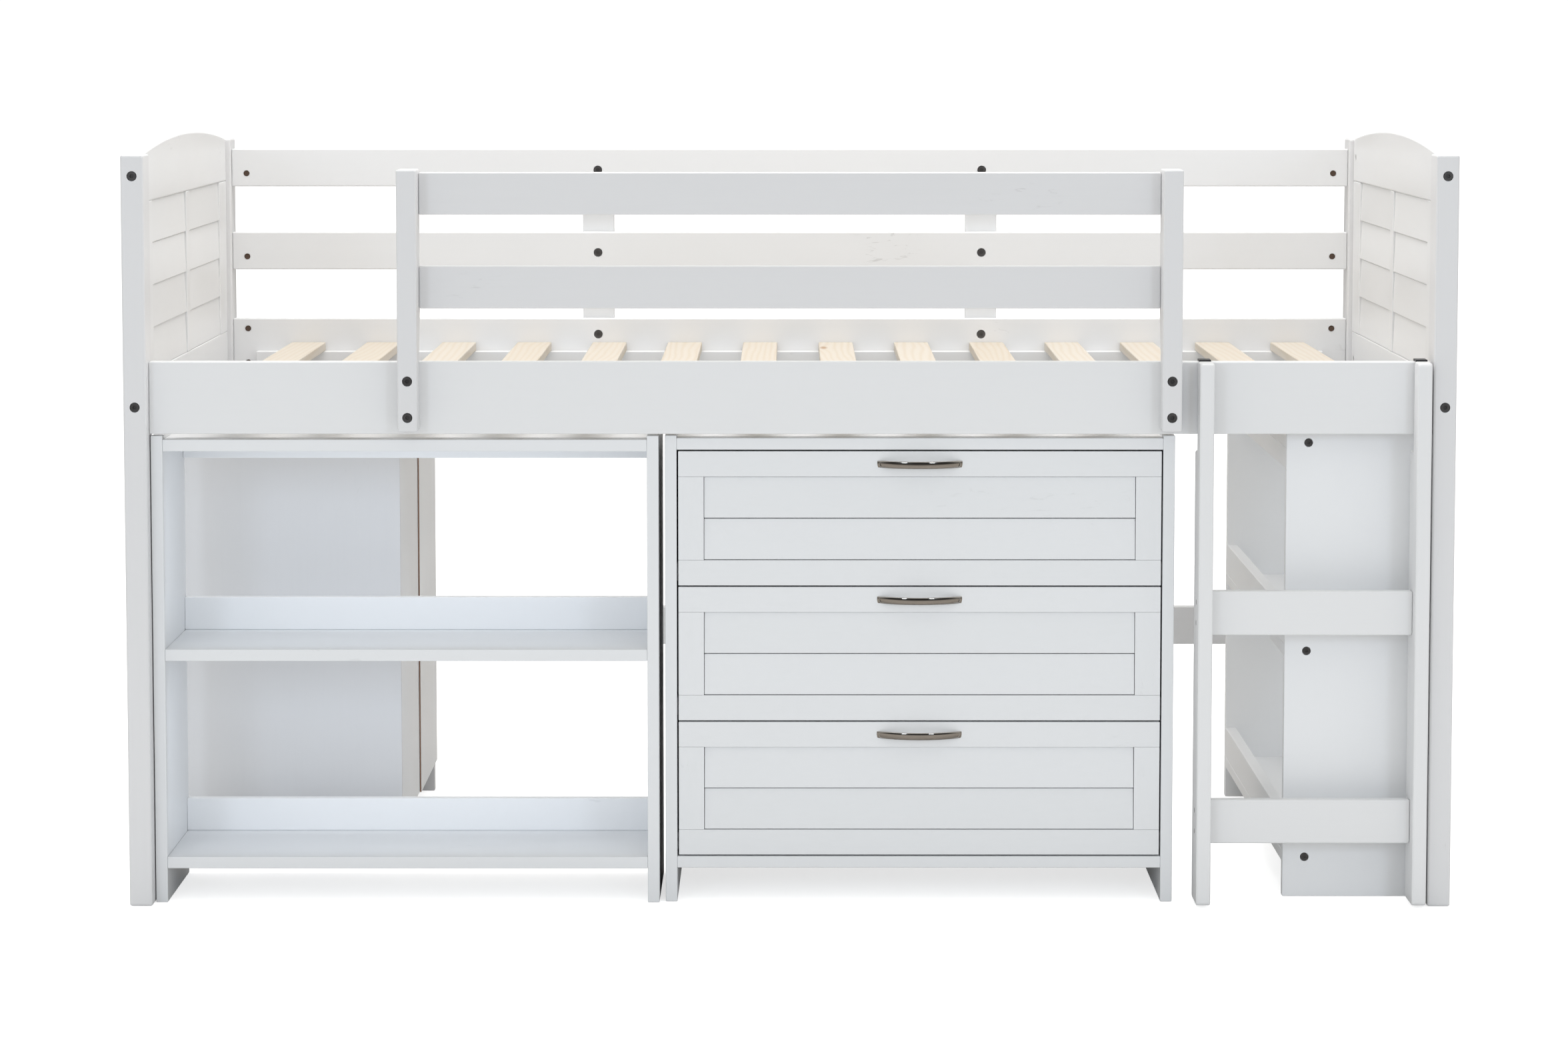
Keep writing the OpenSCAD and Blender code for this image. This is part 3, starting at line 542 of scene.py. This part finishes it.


# %% [markdown]
# ## The finishes
# One finish for each material slot of the bed, and two copies of the white paint that paint
# light and shade into its colour: a darker one for painted shade on the posts, which look a
# little darker than the rails, and a lighter one for painted light on the shelf strips, which
# look a little lighter. Values that are the same all over a surface, such as metallic, are
# set on the shader itself, and only what changes over the surface comes from the groups.

# %% Finishes
def finish(name, group, values, bump, depth, cad_place=False, **shader):
    """A material: a group's colour, roughness and height feed one Principled shader.

    bump is the relief's strength and depth its height in metres. cad_place takes the place
    from the object, for measured fittings that carry no Grain of their own."""
    material = bpy.data.materials.new(name)
    material.use_nodes = True
    tree = material.node_tree
    tree.nodes.clear()
    made = node(tree, "ShaderNodeGroup", node_tree=group)
    if cad_place:
        where = node(tree, "ShaderNodeTexCoord").outputs["Object"]
        tree.links.new(where, made.inputs[0])
    else:
        where = node(tree, "ShaderNodeAttribute", attribute_name="Grain").outputs["Vector"]
        tree.links.new(where, made.inputs[0])
        for label in ("Edge", "Board"):
            if label in made.inputs:
                value = node(tree, "ShaderNodeAttribute", attribute_name=label).outputs["Fac"]
                tree.links.new(value, made.inputs[label])
    for key, value in values.items():
        made.inputs[key].default_value = value
    lift = node(tree, "ShaderNodeBump", {"Strength": bump, "Distance": depth,
                                         "Height": made.outputs["Height"]})
    skin = node(tree, "ShaderNodeBsdfPrincipled",
                {"Base Color": made.outputs["Color"], "Roughness": made.outputs["Roughness"],
                 "Normal": lift.outputs["Normal"], **shader})
    out = node(tree, "ShaderNodeOutputMaterial", {"Surface": skin.outputs[0]})
    out.target = "ALL"
    return material


def rgb(r, g, b):
    """A colour with full alpha, as the sockets take it."""
    return (r, g, b, 1.0)


FINISH = {
    "white_paint": finish(
        "white lacquered pine", PAINTED,
        {"Paint": rgb(0.80, 0.805, 0.81), "Thin Paint": rgb(0.765, 0.768, 0.771),
         "Brush": 0.10, "Patches": 0.10, "Scuffs": 0.35, "Sheen Level": 0.38},
        0.12, 0.0003, **{"Specular IOR Level": 0.5}),
    # Darker copy of the white paint, which paints shade into the colour of the posts, guard
    # boards, stretcher and cabinet.
    "painted_shade_white": finish(
        "white lacquer darkened as painted shade", PAINTED,
        {"Paint": rgb(0.745, 0.745, 0.752), "Thin Paint": rgb(0.71, 0.71, 0.715),
         "Brush": 0.16, "Patches": 0.25, "Scuffs": 0.35, "Sheen Level": 0.38},
        0.22, 0.0003, **{"Specular IOR Level": 0.5}),
    "white_board": finish(
        "white painted board", PAINTED,
        {"Paint": rgb(0.80, 0.812, 0.825), "Thin Paint": rgb(0.775, 0.79, 0.80),
         "Brush": 0.05, "Patches": 0.08, "Scuffs": 0.12, "Sheen Level": 0.37},
        0.07, 0.0003, **{"Specular IOR Level": 0.5}),
    # Lighter copy of the white paint, which paints light into the colour of the rear strips, the
    # end bookcase and the cabinet's back.
    "painted_light_white": finish(
        "white paint lightened as painted light", PAINTED,
        {"Paint": rgb(0.88, 0.89, 0.90), "Thin Paint": rgb(0.86, 0.87, 0.88),
         "Brush": 0.05, "Patches": 0.08, "Scuffs": 0.12, "Sheen Level": 0.37},
        0.07, 0.0003, **{"Specular IOR Level": 0.5}),
    "bare_pine": finish(
        "bare pine slat", FIGURED,
        {"Light Wood": rgb(0.655, 0.602, 0.525), "Dark Wood": rgb(0.58, 0.49, 0.37),
         "Knot": rgb(0.40, 0.25, 0.14), "Rings": 560.0, "Knots": 0.9, "Figure": 0.48},
        0.35, 0.0004),
    "drawer_birch": finish(
        "drawer side birch", FIGURED,
        {"Light Wood": rgb(0.80, 0.71, 0.58), "Dark Wood": rgb(0.70, 0.58, 0.44),
         "Knot": rgb(0.5, 0.36, 0.24), "Rings": 500.0, "Knots": 0.0, "Figure": 0.35},
        0.25, 0.0002),
    "hardboard": finish(
        "pressed hardboard", FIGURED,
        {"Light Wood": rgb(0.26, 0.15, 0.10), "Dark Wood": rgb(0.20, 0.11, 0.07),
         "Knot": rgb(0.3, 0.2, 0.12), "Rings": 60.0, "Knots": 0.0, "Figure": 0.5},
        0.3, 0.0003),
    "black_bolt": finish(
        "blackened bolt steel", METAL,
        {"Metal": rgb(0.085, 0.080, 0.077), "Dull": rgb(0.14, 0.13, 0.125),
         "Roughness": 0.30, "Smudge": 0.2}, 0.3, 0.0001, True, Metallic=0.45),
    "black_hook": finish(
        "black coated strap", METAL,
        {"Metal": rgb(0.02, 0.02, 0.021), "Dull": rgb(0.05, 0.05, 0.05),
         "Roughness": 0.42, "Smudge": 0.15}, 0.4, 0.0002, True, Metallic=0.2),
    "dowel_steel": finish(
        "browned dowel nut", METAL,
        {"Metal": rgb(0.11, 0.07, 0.05), "Dull": rgb(0.07, 0.05, 0.04),
         "Roughness": 0.42, "Smudge": 0.2}, 0.3, 0.0001, True, Metallic=0.5),
    "chrome": finish(
        "polished chrome", METAL,
        {"Metal": rgb(0.52, 0.49, 0.45), "Dull": rgb(0.42, 0.40, 0.37),
         "Roughness": 0.06, "Smudge": 0.08}, 0.04, 0.00002, True, Metallic=1.0),
    "white_steel": finish(
        "white coated steel", METAL,
        {"Metal": rgb(0.74, 0.75, 0.76), "Dull": rgb(0.66, 0.67, 0.68),
         "Roughness": 0.30, "Smudge": 0.15}, 0.2, 0.00005, True),
    "white_nylon": finish(
        "milky nylon", METAL,
        {"Metal": rgb(0.78, 0.78, 0.75), "Dull": rgb(0.7, 0.7, 0.66),
         "Roughness": 0.38, "Smudge": 0.1}, 0.15, 0.00005, True,
        **{"Subsurface Weight": 0.15, "Subsurface Scale": 0.003}),
}
print("finishes:", ", ".join(FINISH))


# %% [markdown]
# ## Posts and long boards of the bed
# These are straight planed boards, cut to length and sanded. One line each is enough: the
# boards come from the frame, the edge radius is what a sanding block leaves, and the bolts
# say where to drill. Posts, guard boards and stretcher get the darker copy of the paint,
# which is painted shade.

# %% Straight boards of the bed
WORN_SHARE = 1.3


def board_piece(name, nodes, finish, radius, holes=(), look=None):
    """One piece of plain boards, one board for each box found in the nodes."""
    parts = [box_prism(b, radius) for n in nodes for b in boards(n)]
    return build(name, parts, nodes, finish, holes, WORN_SHARE * radius, look)


# The posts take the darker copy of the paint: painted shade.
for end in ("front_left", "front_right", "back_left", "back_right"):
    board_piece(f"{end}_corner_post", [f"post_{end}"], "white_paint", 0.0030, BED_HOLES,
                "painted_shade_white")
board_piece("left_panel_stiles", ["left_end_stiles"], "white_paint", 0.0014, BED_HOLES)
board_piece("right_panel_stiles", ["right_end_stiles"], "white_paint", 0.0014, BED_HOLES)
board_piece("long_front_rail", ["front_side_rail"], "white_paint", 0.0022, BED_HOLES)
board_piece("wall_side_rails", ["back_rails"], "white_paint", 0.0022, BED_HOLES)
board_piece("wall_side_braces", ["back_braces"], "white_paint", 0.0020, BED_HOLES)
# The stretcher takes the darker copy of the paint: painted shade.
board_piece("low_stretcher", ["back_stretcher"], "white_paint", 0.0022, BED_HOLES,
            "painted_shade_white")
board_piece("slat_carriers", ["slat_ledgers"], "white_paint", 0.0015, BED_HOLES)
# The guard boards take the darker copy of the paint: painted shade.
board_piece("guard_rail_boards", ["guard_boards"], "white_paint", 0.0025, (), "painted_shade_white")
board_piece("ladder_treads", ["ladder_rungs"], "white_paint", 0.0028)


# %% [markdown]
# ## Slats
# The mattress lies on thin strips of unpainted pine. They are sawn and only lightly planed,
# so their edges are crisper than those of the painted boards.

# %% Slats
board_piece("pine_slats", ["bed_slats"], "bare_pine", 0.0016)


# %% [markdown]
# ## Arched crest rails
# The rail on top of each end is bandsawn to a long arch that starts at the posts' tops. Its
# outline is a circle through the two ends and the peak, which three measured heights give.

# %% Crest rails
def arch_outline(low, high, spring, steps=22):
    """Straight foot and one circle above it: R = (h*h + s*s) / 2s for half width h, rise s."""
    half = (high[1] - low[1]) / 2
    middle = (high[1] + low[1]) / 2
    rise = high[2] - spring
    radius = (half ** 2 + rise ** 2) / (2 * rise)
    reach = math.asin(half / radius) * np.linspace(1, -1, steps)
    arc = np.stack([middle + radius * np.sin(reach), high[2] - radius * (1 - np.cos(reach))], 1)
    return [(low[1], low[2]), (high[1], low[2])] + arc.tolist()


POST_TOP = boards("post_front_left")[0][1][2]
for end in ("left", "right"):
    low, high = boards(f"{end}_crest_rail")[0]
    shape = prism(arch_outline(low, high, POST_TOP), 0, low[0], high[0], 0.0026)
    build(f"{end}_arched_rail", [shape], [f"{end}_crest_rail"], "white_paint", BED_HOLES)


# %% [markdown]
# ## Louvres
# The louvres are thin boards set into grooves at a slight slope. Each one's lower edge
# stands a few millimetres inward of the top edge of the one below, and that step draws the
# shadow line. They are fitted by hand, so each leans by its own small amount, which makes
# the lines lively.

# %% Louvres
LOUVRE_T = 0.007
TOP_PLAY, FOOT_PLAY = 0.0012, 0.0006
GROOVE_GAP = 0.0001


def louvre(box, inward):
    """Sloping slat: a parallelogram across the panel, carried along its length.

    inward is 1 or -1, the direction along x from this end towards the middle of the bed.
    Top and foot each move by a small random play."""
    low, high = box
    foot, head = (low[0], high[0]) if inward < 0 else (high[0], low[0])
    step = -inward * LOUVRE_T
    top = head - step - np.sign(step) * RNG.uniform(0, TOP_PLAY)
    foot = foot + np.sign(step) * RNG.uniform(0, FOOT_PLAY)
    outline = [(low[2], foot), (high[2], top), (high[2], top + step), (low[2], foot + step)]
    if inward > 0:
        outline = outline[::-1]
    return prism(outline, 1, low[1] + GROOVE_GAP, high[1] - GROOVE_GAP, 0.0011)


for end, inward in (("left", 1), ("right", -1)):
    slats = [louvre(b, inward) for b in boards(f"{end}_louvres")]
    build(f"{end}_louvre_boards", slats, [f"{end}_louvres"], "white_paint", (), 0.0014)


# %% [markdown]
# ## Guard uprights and ladder legs
# Both are cut from a wide board to a stepped outline. An upright is shallow where it is
# bolted to the side rail and deeper above it, where it takes the guard boards. A ladder leg
# is deep below and notched above, where it lies against the rail. The same outline is
# carried through the board's thickness.

# %% Guard uprights
FLARE_START, FLARE_END = 0.012, 0.004
RAIL_LOW, RAIL_HIGH = boards("front_side_rail")[0]
GUARD_LOW = boards("guard_boards")[0][0][2]
uprights = []
for low, high in boards("guard_uprights"):
    step_back, flare = RAIL_LOW[1], (RAIL_HIGH[2] + FLARE_START, GUARD_LOW - FLARE_END)
    outline = [(low[1], low[2]), (step_back, low[2]), (step_back, flare[0]),
               (high[1], flare[1]), (high[1], high[2]), (low[1], high[2])]
    uprights.append(prism(outline, 0, low[0], high[0], 0.0026))
# The uprights take the darker copy of the paint: painted shade.
build("guard_rail_uprights", uprights, ["guard_uprights"], "white_paint", BED_HOLES,
      look="painted_shade_white")

# %% Ladder legs
HOOKS = boards("ladder_hooks")
NOTCH_Z = 0.700
LEG_CORNER = 0.006
LEG_BACK = HOOKS[0][0][1]
legs = []
for low, high in boards("ladder_legs"):
    outline = [(low[1], low[2]), (high[1], low[2]), (high[1], NOTCH_Z), (LEG_BACK, NOTCH_Z),
               (LEG_BACK, high[2]), (low[1], high[2])]
    legs.append(prism(outline, 0, low[0], high[0], 0.0028, LEG_CORNER))
build("ladder_side_legs", legs, ["ladder_legs"], "white_paint", LADDER_HOLES)


# %% [markdown]
# ## Ladder hooks
# A strap of flat steel is bent twice: it runs up the back of the leg, over the rail and down
# behind it. The bends are tight, so a plain outline of the strap with small round corners
# is enough.

# %% Ladder hooks
STRAP = 0.003
HOOK_DROP = 0.020
straps = []
for low, high in HOOKS:
    inner = high[1] - STRAP
    tip = RAIL_HIGH[2] - HOOK_DROP
    outline = [(low[1], low[2]), (low[1] + STRAP, low[2]), (low[1] + STRAP, high[2] - STRAP),
               (inner, high[2] - STRAP), (inner, tip), (high[1], tip), (high[1], high[2]),
               (low[1], high[2])]
    straps.append(prism(outline, 0, low[0], high[0], 0.0007))
build("ladder_hook_straps", straps, ["ladder_hooks"], "black_hook")


# %% [markdown]
# ## Storage units
# The units are made from flat factory board with a thin, hard paint film and small edge
# radii. Their bolts have low heads in shallow counterbores on the outer faces. The cabinet
# has the darker copy of the paint, which is painted shade, and the end bookcase, the loose
# strips and the cabinet's back have the lighter copy, which is painted light.

# %% Bookcases, chest body and desk cabinet
PROUD = 0.0003

# The end bookcase takes the lighter copy of the paint, which is painted light, and the cabinet the
# darker copy, which is painted shade.
for unit, look in (("bookcase", "white_board"), ("end_bookcase", "painted_light_white"),
                   ("cabinet", "painted_shade_white")):
    for part, boards_of in (("upright_sides", "sides"), ("level_boards", "shelves")):
        board_piece(f"{unit}_{part}", [f"{unit}_{boards_of}"], "white_board", 0.0013,
                    UNIT_HOLES, look)
# The rear strips take the lighter copy of the paint: painted light.
for unit in ("bookcase", "end_bookcase"):
    board_piece(f"{unit}_rear_strips", [f"{unit}_backstops"], "white_board", 0.0013, (),
                "painted_light_white")
# The panels stand a hair proud of the boards that they close, so no two faces coincide.
# The back panels take the lighter copy of the paint: painted light.
back = build("cabinet_back_panels",
             [box_prism(b + [PROUD, 0, 0], 0.0004) for b in boards("cabinet_back")],
             ["cabinet_back"], "white_board", look="painted_light_white")
board_piece("chest_upright_sides", ["chest_sides"], "white_board", 0.0013)
board_piece("chest_top_board", ["chest_top"], "white_board", 0.0013)
board_piece("chest_floor_board", ["chest_bottom"], "white_board", 0.0013)
board_piece("chest_rear_panel", ["chest_back"], "hardboard", 0.0006, (), "white_board")
board_piece("pull_out_desk_board", ["desk_board"], "white_board", 0.0013)
board_piece("pull_out_desk_lipping", ["desk_lip"], "white_board", 0.0018)

# %% Raw edge of the cabinet's back
# The two halves of the back overlap, and the cut edge between them was never painted. Its
# faces look towards the front, so their normals pick them out.
FACING = 0.8
normals = np.empty(len(back.data.polygons) * 3)
back.data.polygons.foreach_get("normal", normals)
raw = (normals.reshape(-1, 3)[:, 1] < -FACING).astype(int)
back.data.materials.append(FINISH["hardboard"])
back.data.polygons.foreach_set("material_index", raw)
print("raw edge faces:", raw.sum())


# %% [markdown]
# ## Drawer fronts
# A front is a frame of two rails and two short stiles with two sloping boards between them,
# like the louvres of the bed. Each sloping board leans back at its top and its lower edge
# stands proud, each by a slightly different amount. A thin open seam above and below every
# board gives the dark lines.

# %% Drawer fronts
FRAME_STEP = 0.0008
LEAN = 0.003
SEAM = np.array([[0.0004, 0, 0.0008], [-0.0004, 0, -0.0004]])


def drawer_front(number):
    """Frame boards stay straight; a board that starts deeper than the frame is sloped.

    SEAM moves a sloping board's low and high corners in, so a thin seam stays open. Its face
    runs from about its box's front, at the foot, to LEAN behind that, at the top."""
    found = boards(f"drawer_{number}_front")
    face = found[:, 0, 1].min()
    shapes = []
    for box in found:
        if box[0, 1] < face + FRAME_STEP:
            shapes.append(box_prism(box, 0.0006))
            continue
        low, high = box + SEAM
        lean = LEAN + RNG.uniform(-0.0006, 0.0008)
        tilt = RNG.uniform(-0.0004, 0.0004)
        outline = [(low[1] + max(tilt, 0), low[2]), (high[1], low[2]), (high[1], high[2]),
                   (low[1] + lean, high[2])]
        shapes.append(prism(outline, 0, low[0], high[0], 0.0006))
    return shapes


for n in (1, 2, 3):
    build(f"drawer_{n}_lapped_front", drawer_front(n), [f"drawer_{n}_front"], "white_board")
    board_piece(f"drawer_{n}_birch_box", [f"drawer_{n}_box"], "drawer_birch", 0.0010)


# %% [markdown]
# ## Bow handles
# A bow handle is a flat strap bent to an arc, with two posts that screw to the front. The
# strap is a rounded section carried along the arc: at each step the section stands square
# to the arc, and at the very ends it gets a little smaller, as a casting does.

# %% Bow handles
STEPS_ALONG, STEPS_ROUND = 49, 28
STRAP_T, STRAP_H = 0.0042, 0.0110
SQUARENESS = 4.5
BEVEL_START, BEVEL_SLOPE = 0.0005, 0.35
END_TAPER = 0.07
FOOT_SIDES = 20
FOOT_IN = 0.008
FOOT_DEPTH = np.array([0, 0.0028, 0.0034])
FOOT_RADIUS = np.array([0.0046, 0.0046, 0.0040])


def bow(low, high):
    """Strap along a circle in plan: centre line at radius R, section a rounded rectangle.

    The section is a superellipse, |u/a|^p + |v/b|^p = 1 with p = SQUARENESS, which gives
    flat sides and soft edges. Its lower part slopes back, so the strap shows a dark face and
    a paler band under it. The section shrinks by 1 - END_TAPER |s|^6, with s from -1 to 1
    along the strap, and the ends are flat caps."""
    half = (high[0] - low[0]) / 2
    depth = high[1] - low[1]
    radius = (half ** 2 + depth ** 2) / (2 * depth)
    reach = math.asin(half / radius)
    s = np.linspace(-1, 1, STEPS_ALONG)
    angle = reach * s
    thin = 1 - END_TAPER * np.abs(s) ** 6
    t = np.linspace(0, 2 * math.pi, STEPS_ROUND, endpoint=False)
    u = np.sign(np.cos(t)) * np.abs(np.cos(t)) ** (2 / SQUARENESS) * STRAP_T / 2
    v = np.sign(np.sin(t)) * np.abs(np.sin(t)) ** (2 / SQUARENESS) * STRAP_H / 2
    u = u - np.where(u > 0, 1.0, 0.0) * np.clip(-v - BEVEL_START, 0, None) * BEVEL_SLOPE
    path = radius - STRAP_T / 2
    mid = (low[0] + high[0]) / 2
    centre_y = low[1] + radius
    away = path + u[None] * thin[:, None]
    co = np.stack([mid + away * np.sin(angle)[:, None], centre_y - away * np.cos(angle)[:, None],
                   (low[2] + high[2]) / 2 + v[None] * thin[:, None]], axis=2)
    co[..., 1] = np.minimum(co[..., 1], high[1])
    rows, ring = co.shape[:2]
    i, j = np.meshgrid(np.arange(ring), np.arange(rows - 1))
    k = (i + 1) % ring
    quads = np.stack([j * ring + i, (j + 1) * ring + i, (j + 1) * ring + k, j * ring + k],
                     axis=-1).reshape(-1, 4)
    caps = [np.arange(ring).tolist(), (np.arange(ring)[::-1] + (rows - 1) * ring).tolist()]
    return co.reshape(-1, 3), quads.tolist() + caps


def foot(x, low, high):
    """Short round post between the strap's end and the drawer front, with a small chamfer.

    Rings of radius FOOT_RADIUS stand at the depths FOOT_DEPTH in front of the drawer."""
    t = np.linspace(0, 2 * math.pi, FOOT_SIDES, endpoint=False)
    y = high[1] - FOOT_DEPTH
    r = FOOT_RADIUS
    co = np.stack([x + r[:, None] * np.cos(t), np.repeat(y[:, None], FOOT_SIDES, axis=1),
                   (low[2] + high[2]) / 2 + r[:, None] * np.sin(t)], axis=2)
    rings, ring = co.shape[:2]
    i, j = np.meshgrid(np.arange(ring), np.arange(rings - 1))
    k = (i + 1) % ring
    quads = np.stack([j * ring + i, j * ring + k, (j + 1) * ring + k, (j + 1) * ring + i],
                     axis=-1).reshape(-1, 4)
    caps = [np.arange(ring)[::-1].tolist(), (np.arange(ring) + (rings - 1) * ring).tolist()]
    return co.reshape(-1, 3), quads.tolist() + caps


for n in (1, 2, 3):
    low, high = (np.array(c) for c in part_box(f"drawer_{n}_handle"))
    handle = [bow(low, high), foot(low[0] + FOOT_IN, low, high),
              foot(high[0] - FOOT_IN, low, high)]
    build(f"drawer_{n}_bow_handle", handle, [f"drawer_{n}_handle"], "chrome")


# %% [markdown]
# ## Fittings that keep their measured shape
# Bolts, dowel nuts, runners and rollers are already exact, so they only get their finish.

# %% Finishes on the measured fittings
SLOT_OF = {"bed_bolts": "black_bolt", "cross_dowels": "dowel_steel",
           "ladder_screws": "black_bolt", "unit_bolts": "black_bolt",
           "chest_runners": "white_steel", "cabinet_runners": "bare_pine"}
SLOT_OF.update({f"drawer_{n}_runners": "white_steel" for n in (1, 2, 3)})
SLOT_OF.update({f"drawer_{n}_rollers": "white_nylon" for n in (1, 2, 3)})
SLOT_OF.update({f"chest_rollers_{n}": "white_nylon" for n in (1, 2, 3)})
for name, slot in SLOT_OF.items():
    mesh = frame["nodes"][name].data
    mesh.materials.clear()
    mesh.materials.append(FINISH[slot])
print("measured fittings with a finish:", len(SLOT_OF))


# %% [markdown]
# ## Floor
# A plain pale sheet that runs far past the bed, so the horizon stays clean in every view.
# It glows a little for the camera only, which keeps the sheet as white as the room without
# lighting the furniture. Reflections see a darker sheet, darkest far out in front, and that
# gives the chrome its lower band.

# %% Floor
UNDER_FEET = 0.0004
CAMERA_GLOW = 0.65
DARK_FROM, DARK_TO = -1.6, -3.2


def floor_sheet(size=400.0, cells=12):
    """Flat grid: x and y run evenly over the sheet, and z is a hair below the feet."""
    run = np.linspace(-size, size, cells)
    x, y = np.meshgrid(run, run)
    co = np.stack([x, y, np.full_like(x, -UNDER_FEET)], axis=2).reshape(-1, 3)
    i, j = np.meshgrid(np.arange(cells - 1), np.arange(cells - 1))
    first = (j * cells + i).ravel()
    return co, np.stack([first, first + 1, first + 1 + cells, first + cells], 1).tolist()


co, faces = floor_sheet()
mesh = bpy.data.meshes.new("studio_floor")
mesh.from_pydata(co.tolist(), [], faces)
floor = bpy.data.objects.new("studio_floor", mesh)
bpy.context.scene.collection.objects.link(floor)
pale = bpy.data.materials.new("pale studio floor")
pale.use_nodes = True
skin = pale.node_tree.nodes["Principled BSDF"]
skin.inputs["Roughness"].default_value = 0.85
skin.inputs["Specular IOR Level"].default_value = 0.1
skin.inputs["Emission Color"].default_value = (1, 1, 1, 1)
tree = pale.node_tree
ray = node(tree, "ShaderNodeLightPath")
place = node(tree, "ShaderNodeSeparateXYZ",
             {0: node(tree, "ShaderNodeTexCoord").outputs["Object"]})
shade = blend_colour(tree, ramp(tree, place.outputs[1], DARK_FROM, DARK_TO),
                     rgb(0.42, 0.39, 0.36), rgb(0.05, 0.045, 0.04))
matt = blend_colour(tree, ray.outputs["Is Glossy Ray"], rgb(0.88, 0.88, 0.88), shade)
tree.links.new(matt, skin.inputs["Base Color"])
tree.links.new(maths(tree, "MULTIPLY", ray.outputs["Is Camera Ray"], CAMERA_GLOW),
               skin.inputs["Emission Strength"])
mesh.materials.append(pale)
print("floor:", len(faces), "cells")


# %% [markdown]
# ## Light
# A white room lights furniture evenly. Two soft boxes in front are a little cool, and one
# above the slats is a little warm, so the front reads cooler than the inside of the bed.
# Two weak lamps inside the open bookcase lift its shade, as white cards held there would.
# The room is darker in front for reflections only, which gives the chrome its dark bands.

# %% Room and lamps
COOL, WARM = (0.76, 0.86, 1.0), (1.0, 0.975, 0.965)
FRONT_POWER, OVERHEAD_POWER, CARD_POWER = 36, 53, 0.26
ROOM_LEVEL, CAMERA_LEVEL = 0.79, 1.06
BOOKCASE_X, BOOKCASE_FRONT = -0.59, -0.50


def soft_box(name, place, target, size, power, colour):
    """Rectangular area lamp that faces a target. Size is in metres and power in watts."""
    lamp = bpy.data.lights.new(name, "AREA")
    lamp.shape, lamp.size, lamp.size_y = "RECTANGLE", size[0], size[1]
    lamp.energy, lamp.color = power, colour
    obj = bpy.data.objects.new(name, lamp)
    obj.location = place
    way = np.array(target, float) - np.array(place, float)
    obj.rotation_euler = (math.atan2(math.hypot(way[0], way[1]), -way[2]), 0,
                          math.atan2(way[1], way[0]) - math.pi / 2)
    bpy.context.scene.collection.objects.link(obj)
    return obj


world = bpy.data.worlds.new("white room")
bpy.context.scene.world = world
world.use_nodes = True
tree = world.node_tree
tree.nodes.clear()
way = node(tree, "ShaderNodeTexCoord").outputs["Generated"]
split = node(tree, "ShaderNodeSeparateXYZ", {0: way})
front = ramp(tree, maths(tree, "MULTIPLY", split.outputs[1], -1.0), 0.1, 0.7)
low_down = ramp(tree, split.outputs[2], 0.75, 0.35)
dark = maths(tree, "MULTIPLY", front, low_down)
path = node(tree, "ShaderNodeLightPath")
dark = maths(tree, "MULTIPLY", dark, path.outputs["Is Glossy Ray"])
room = blend_colour(tree, dark, rgb(1.0, 1.0, 0.98), rgb(0.02, 0.02, 0.022))
room = blend_colour(tree, path.outputs["Is Camera Ray"], room, rgb(1, 1, 1))
level = node(tree, "ShaderNodeMix",
             {0: path.outputs["Is Camera Ray"], 2: ROOM_LEVEL, 3: CAMERA_LEVEL},
             data_type="FLOAT").outputs[0]
glow = node(tree, "ShaderNodeBackground", {"Color": room, "Strength": level})
node(tree, "ShaderNodeOutputWorld", {"Surface": glow.outputs[0]})
for side, x in (("left", -2.7), ("right", 2.7)):
    soft_box(f"front soft box {side}", (x, -6.9, 2.1), (0, 0, 0.6), (0.9, 1.3),
             FRONT_POWER, COOL)
soft_box("overhead soft box", (0, -0.1, 3.2), (0, 0.1, 0.8), (2.8, 0.8),
         OVERHEAD_POWER, WARM)
for z in (0.55, 0.23):
    card = soft_box(f"fill in the bookcase at {z}", (BOOKCASE_X, BOOKCASE_FRONT, z),
                    (BOOKCASE_X, 1.0, z), (0.70, 0.22), CARD_POWER, COOL)
    card.visible_camera = False
bpy.context.scene.view_settings.view_transform = "Standard"


# %% [markdown]
# ## Camera
# The view is from 6.5 m in front of the posts and 1.34 m above the floor, tipped down by
# five degrees. A long lens keeps the uprights nearly parallel.

# %% Camera
VIEW_PLACE = (-0.0009, -7.0546, 1.3361)
TIP_DOWN, TURN_LEFT = math.radians(5.0307), math.radians(0.0692)
LENS, SENSOR, LENS_SHIFT = 98.71, 36.0, -0.07
view = bpy.data.cameras.new("camera")
view.lens, view.sensor_width, view.shift_y = LENS, SENSOR, LENS_SHIFT
view.dof.use_dof = False
camera = bpy.data.objects.new("camera", view)
camera.location = VIEW_PLACE
camera.rotation_euler = (math.pi / 2 - TIP_DOWN, 0, TURN_LEFT)
bpy.context.scene.collection.objects.link(camera)
bpy.context.scene.camera = camera
print("camera at", tuple(round(v, 3) for v in camera.location))
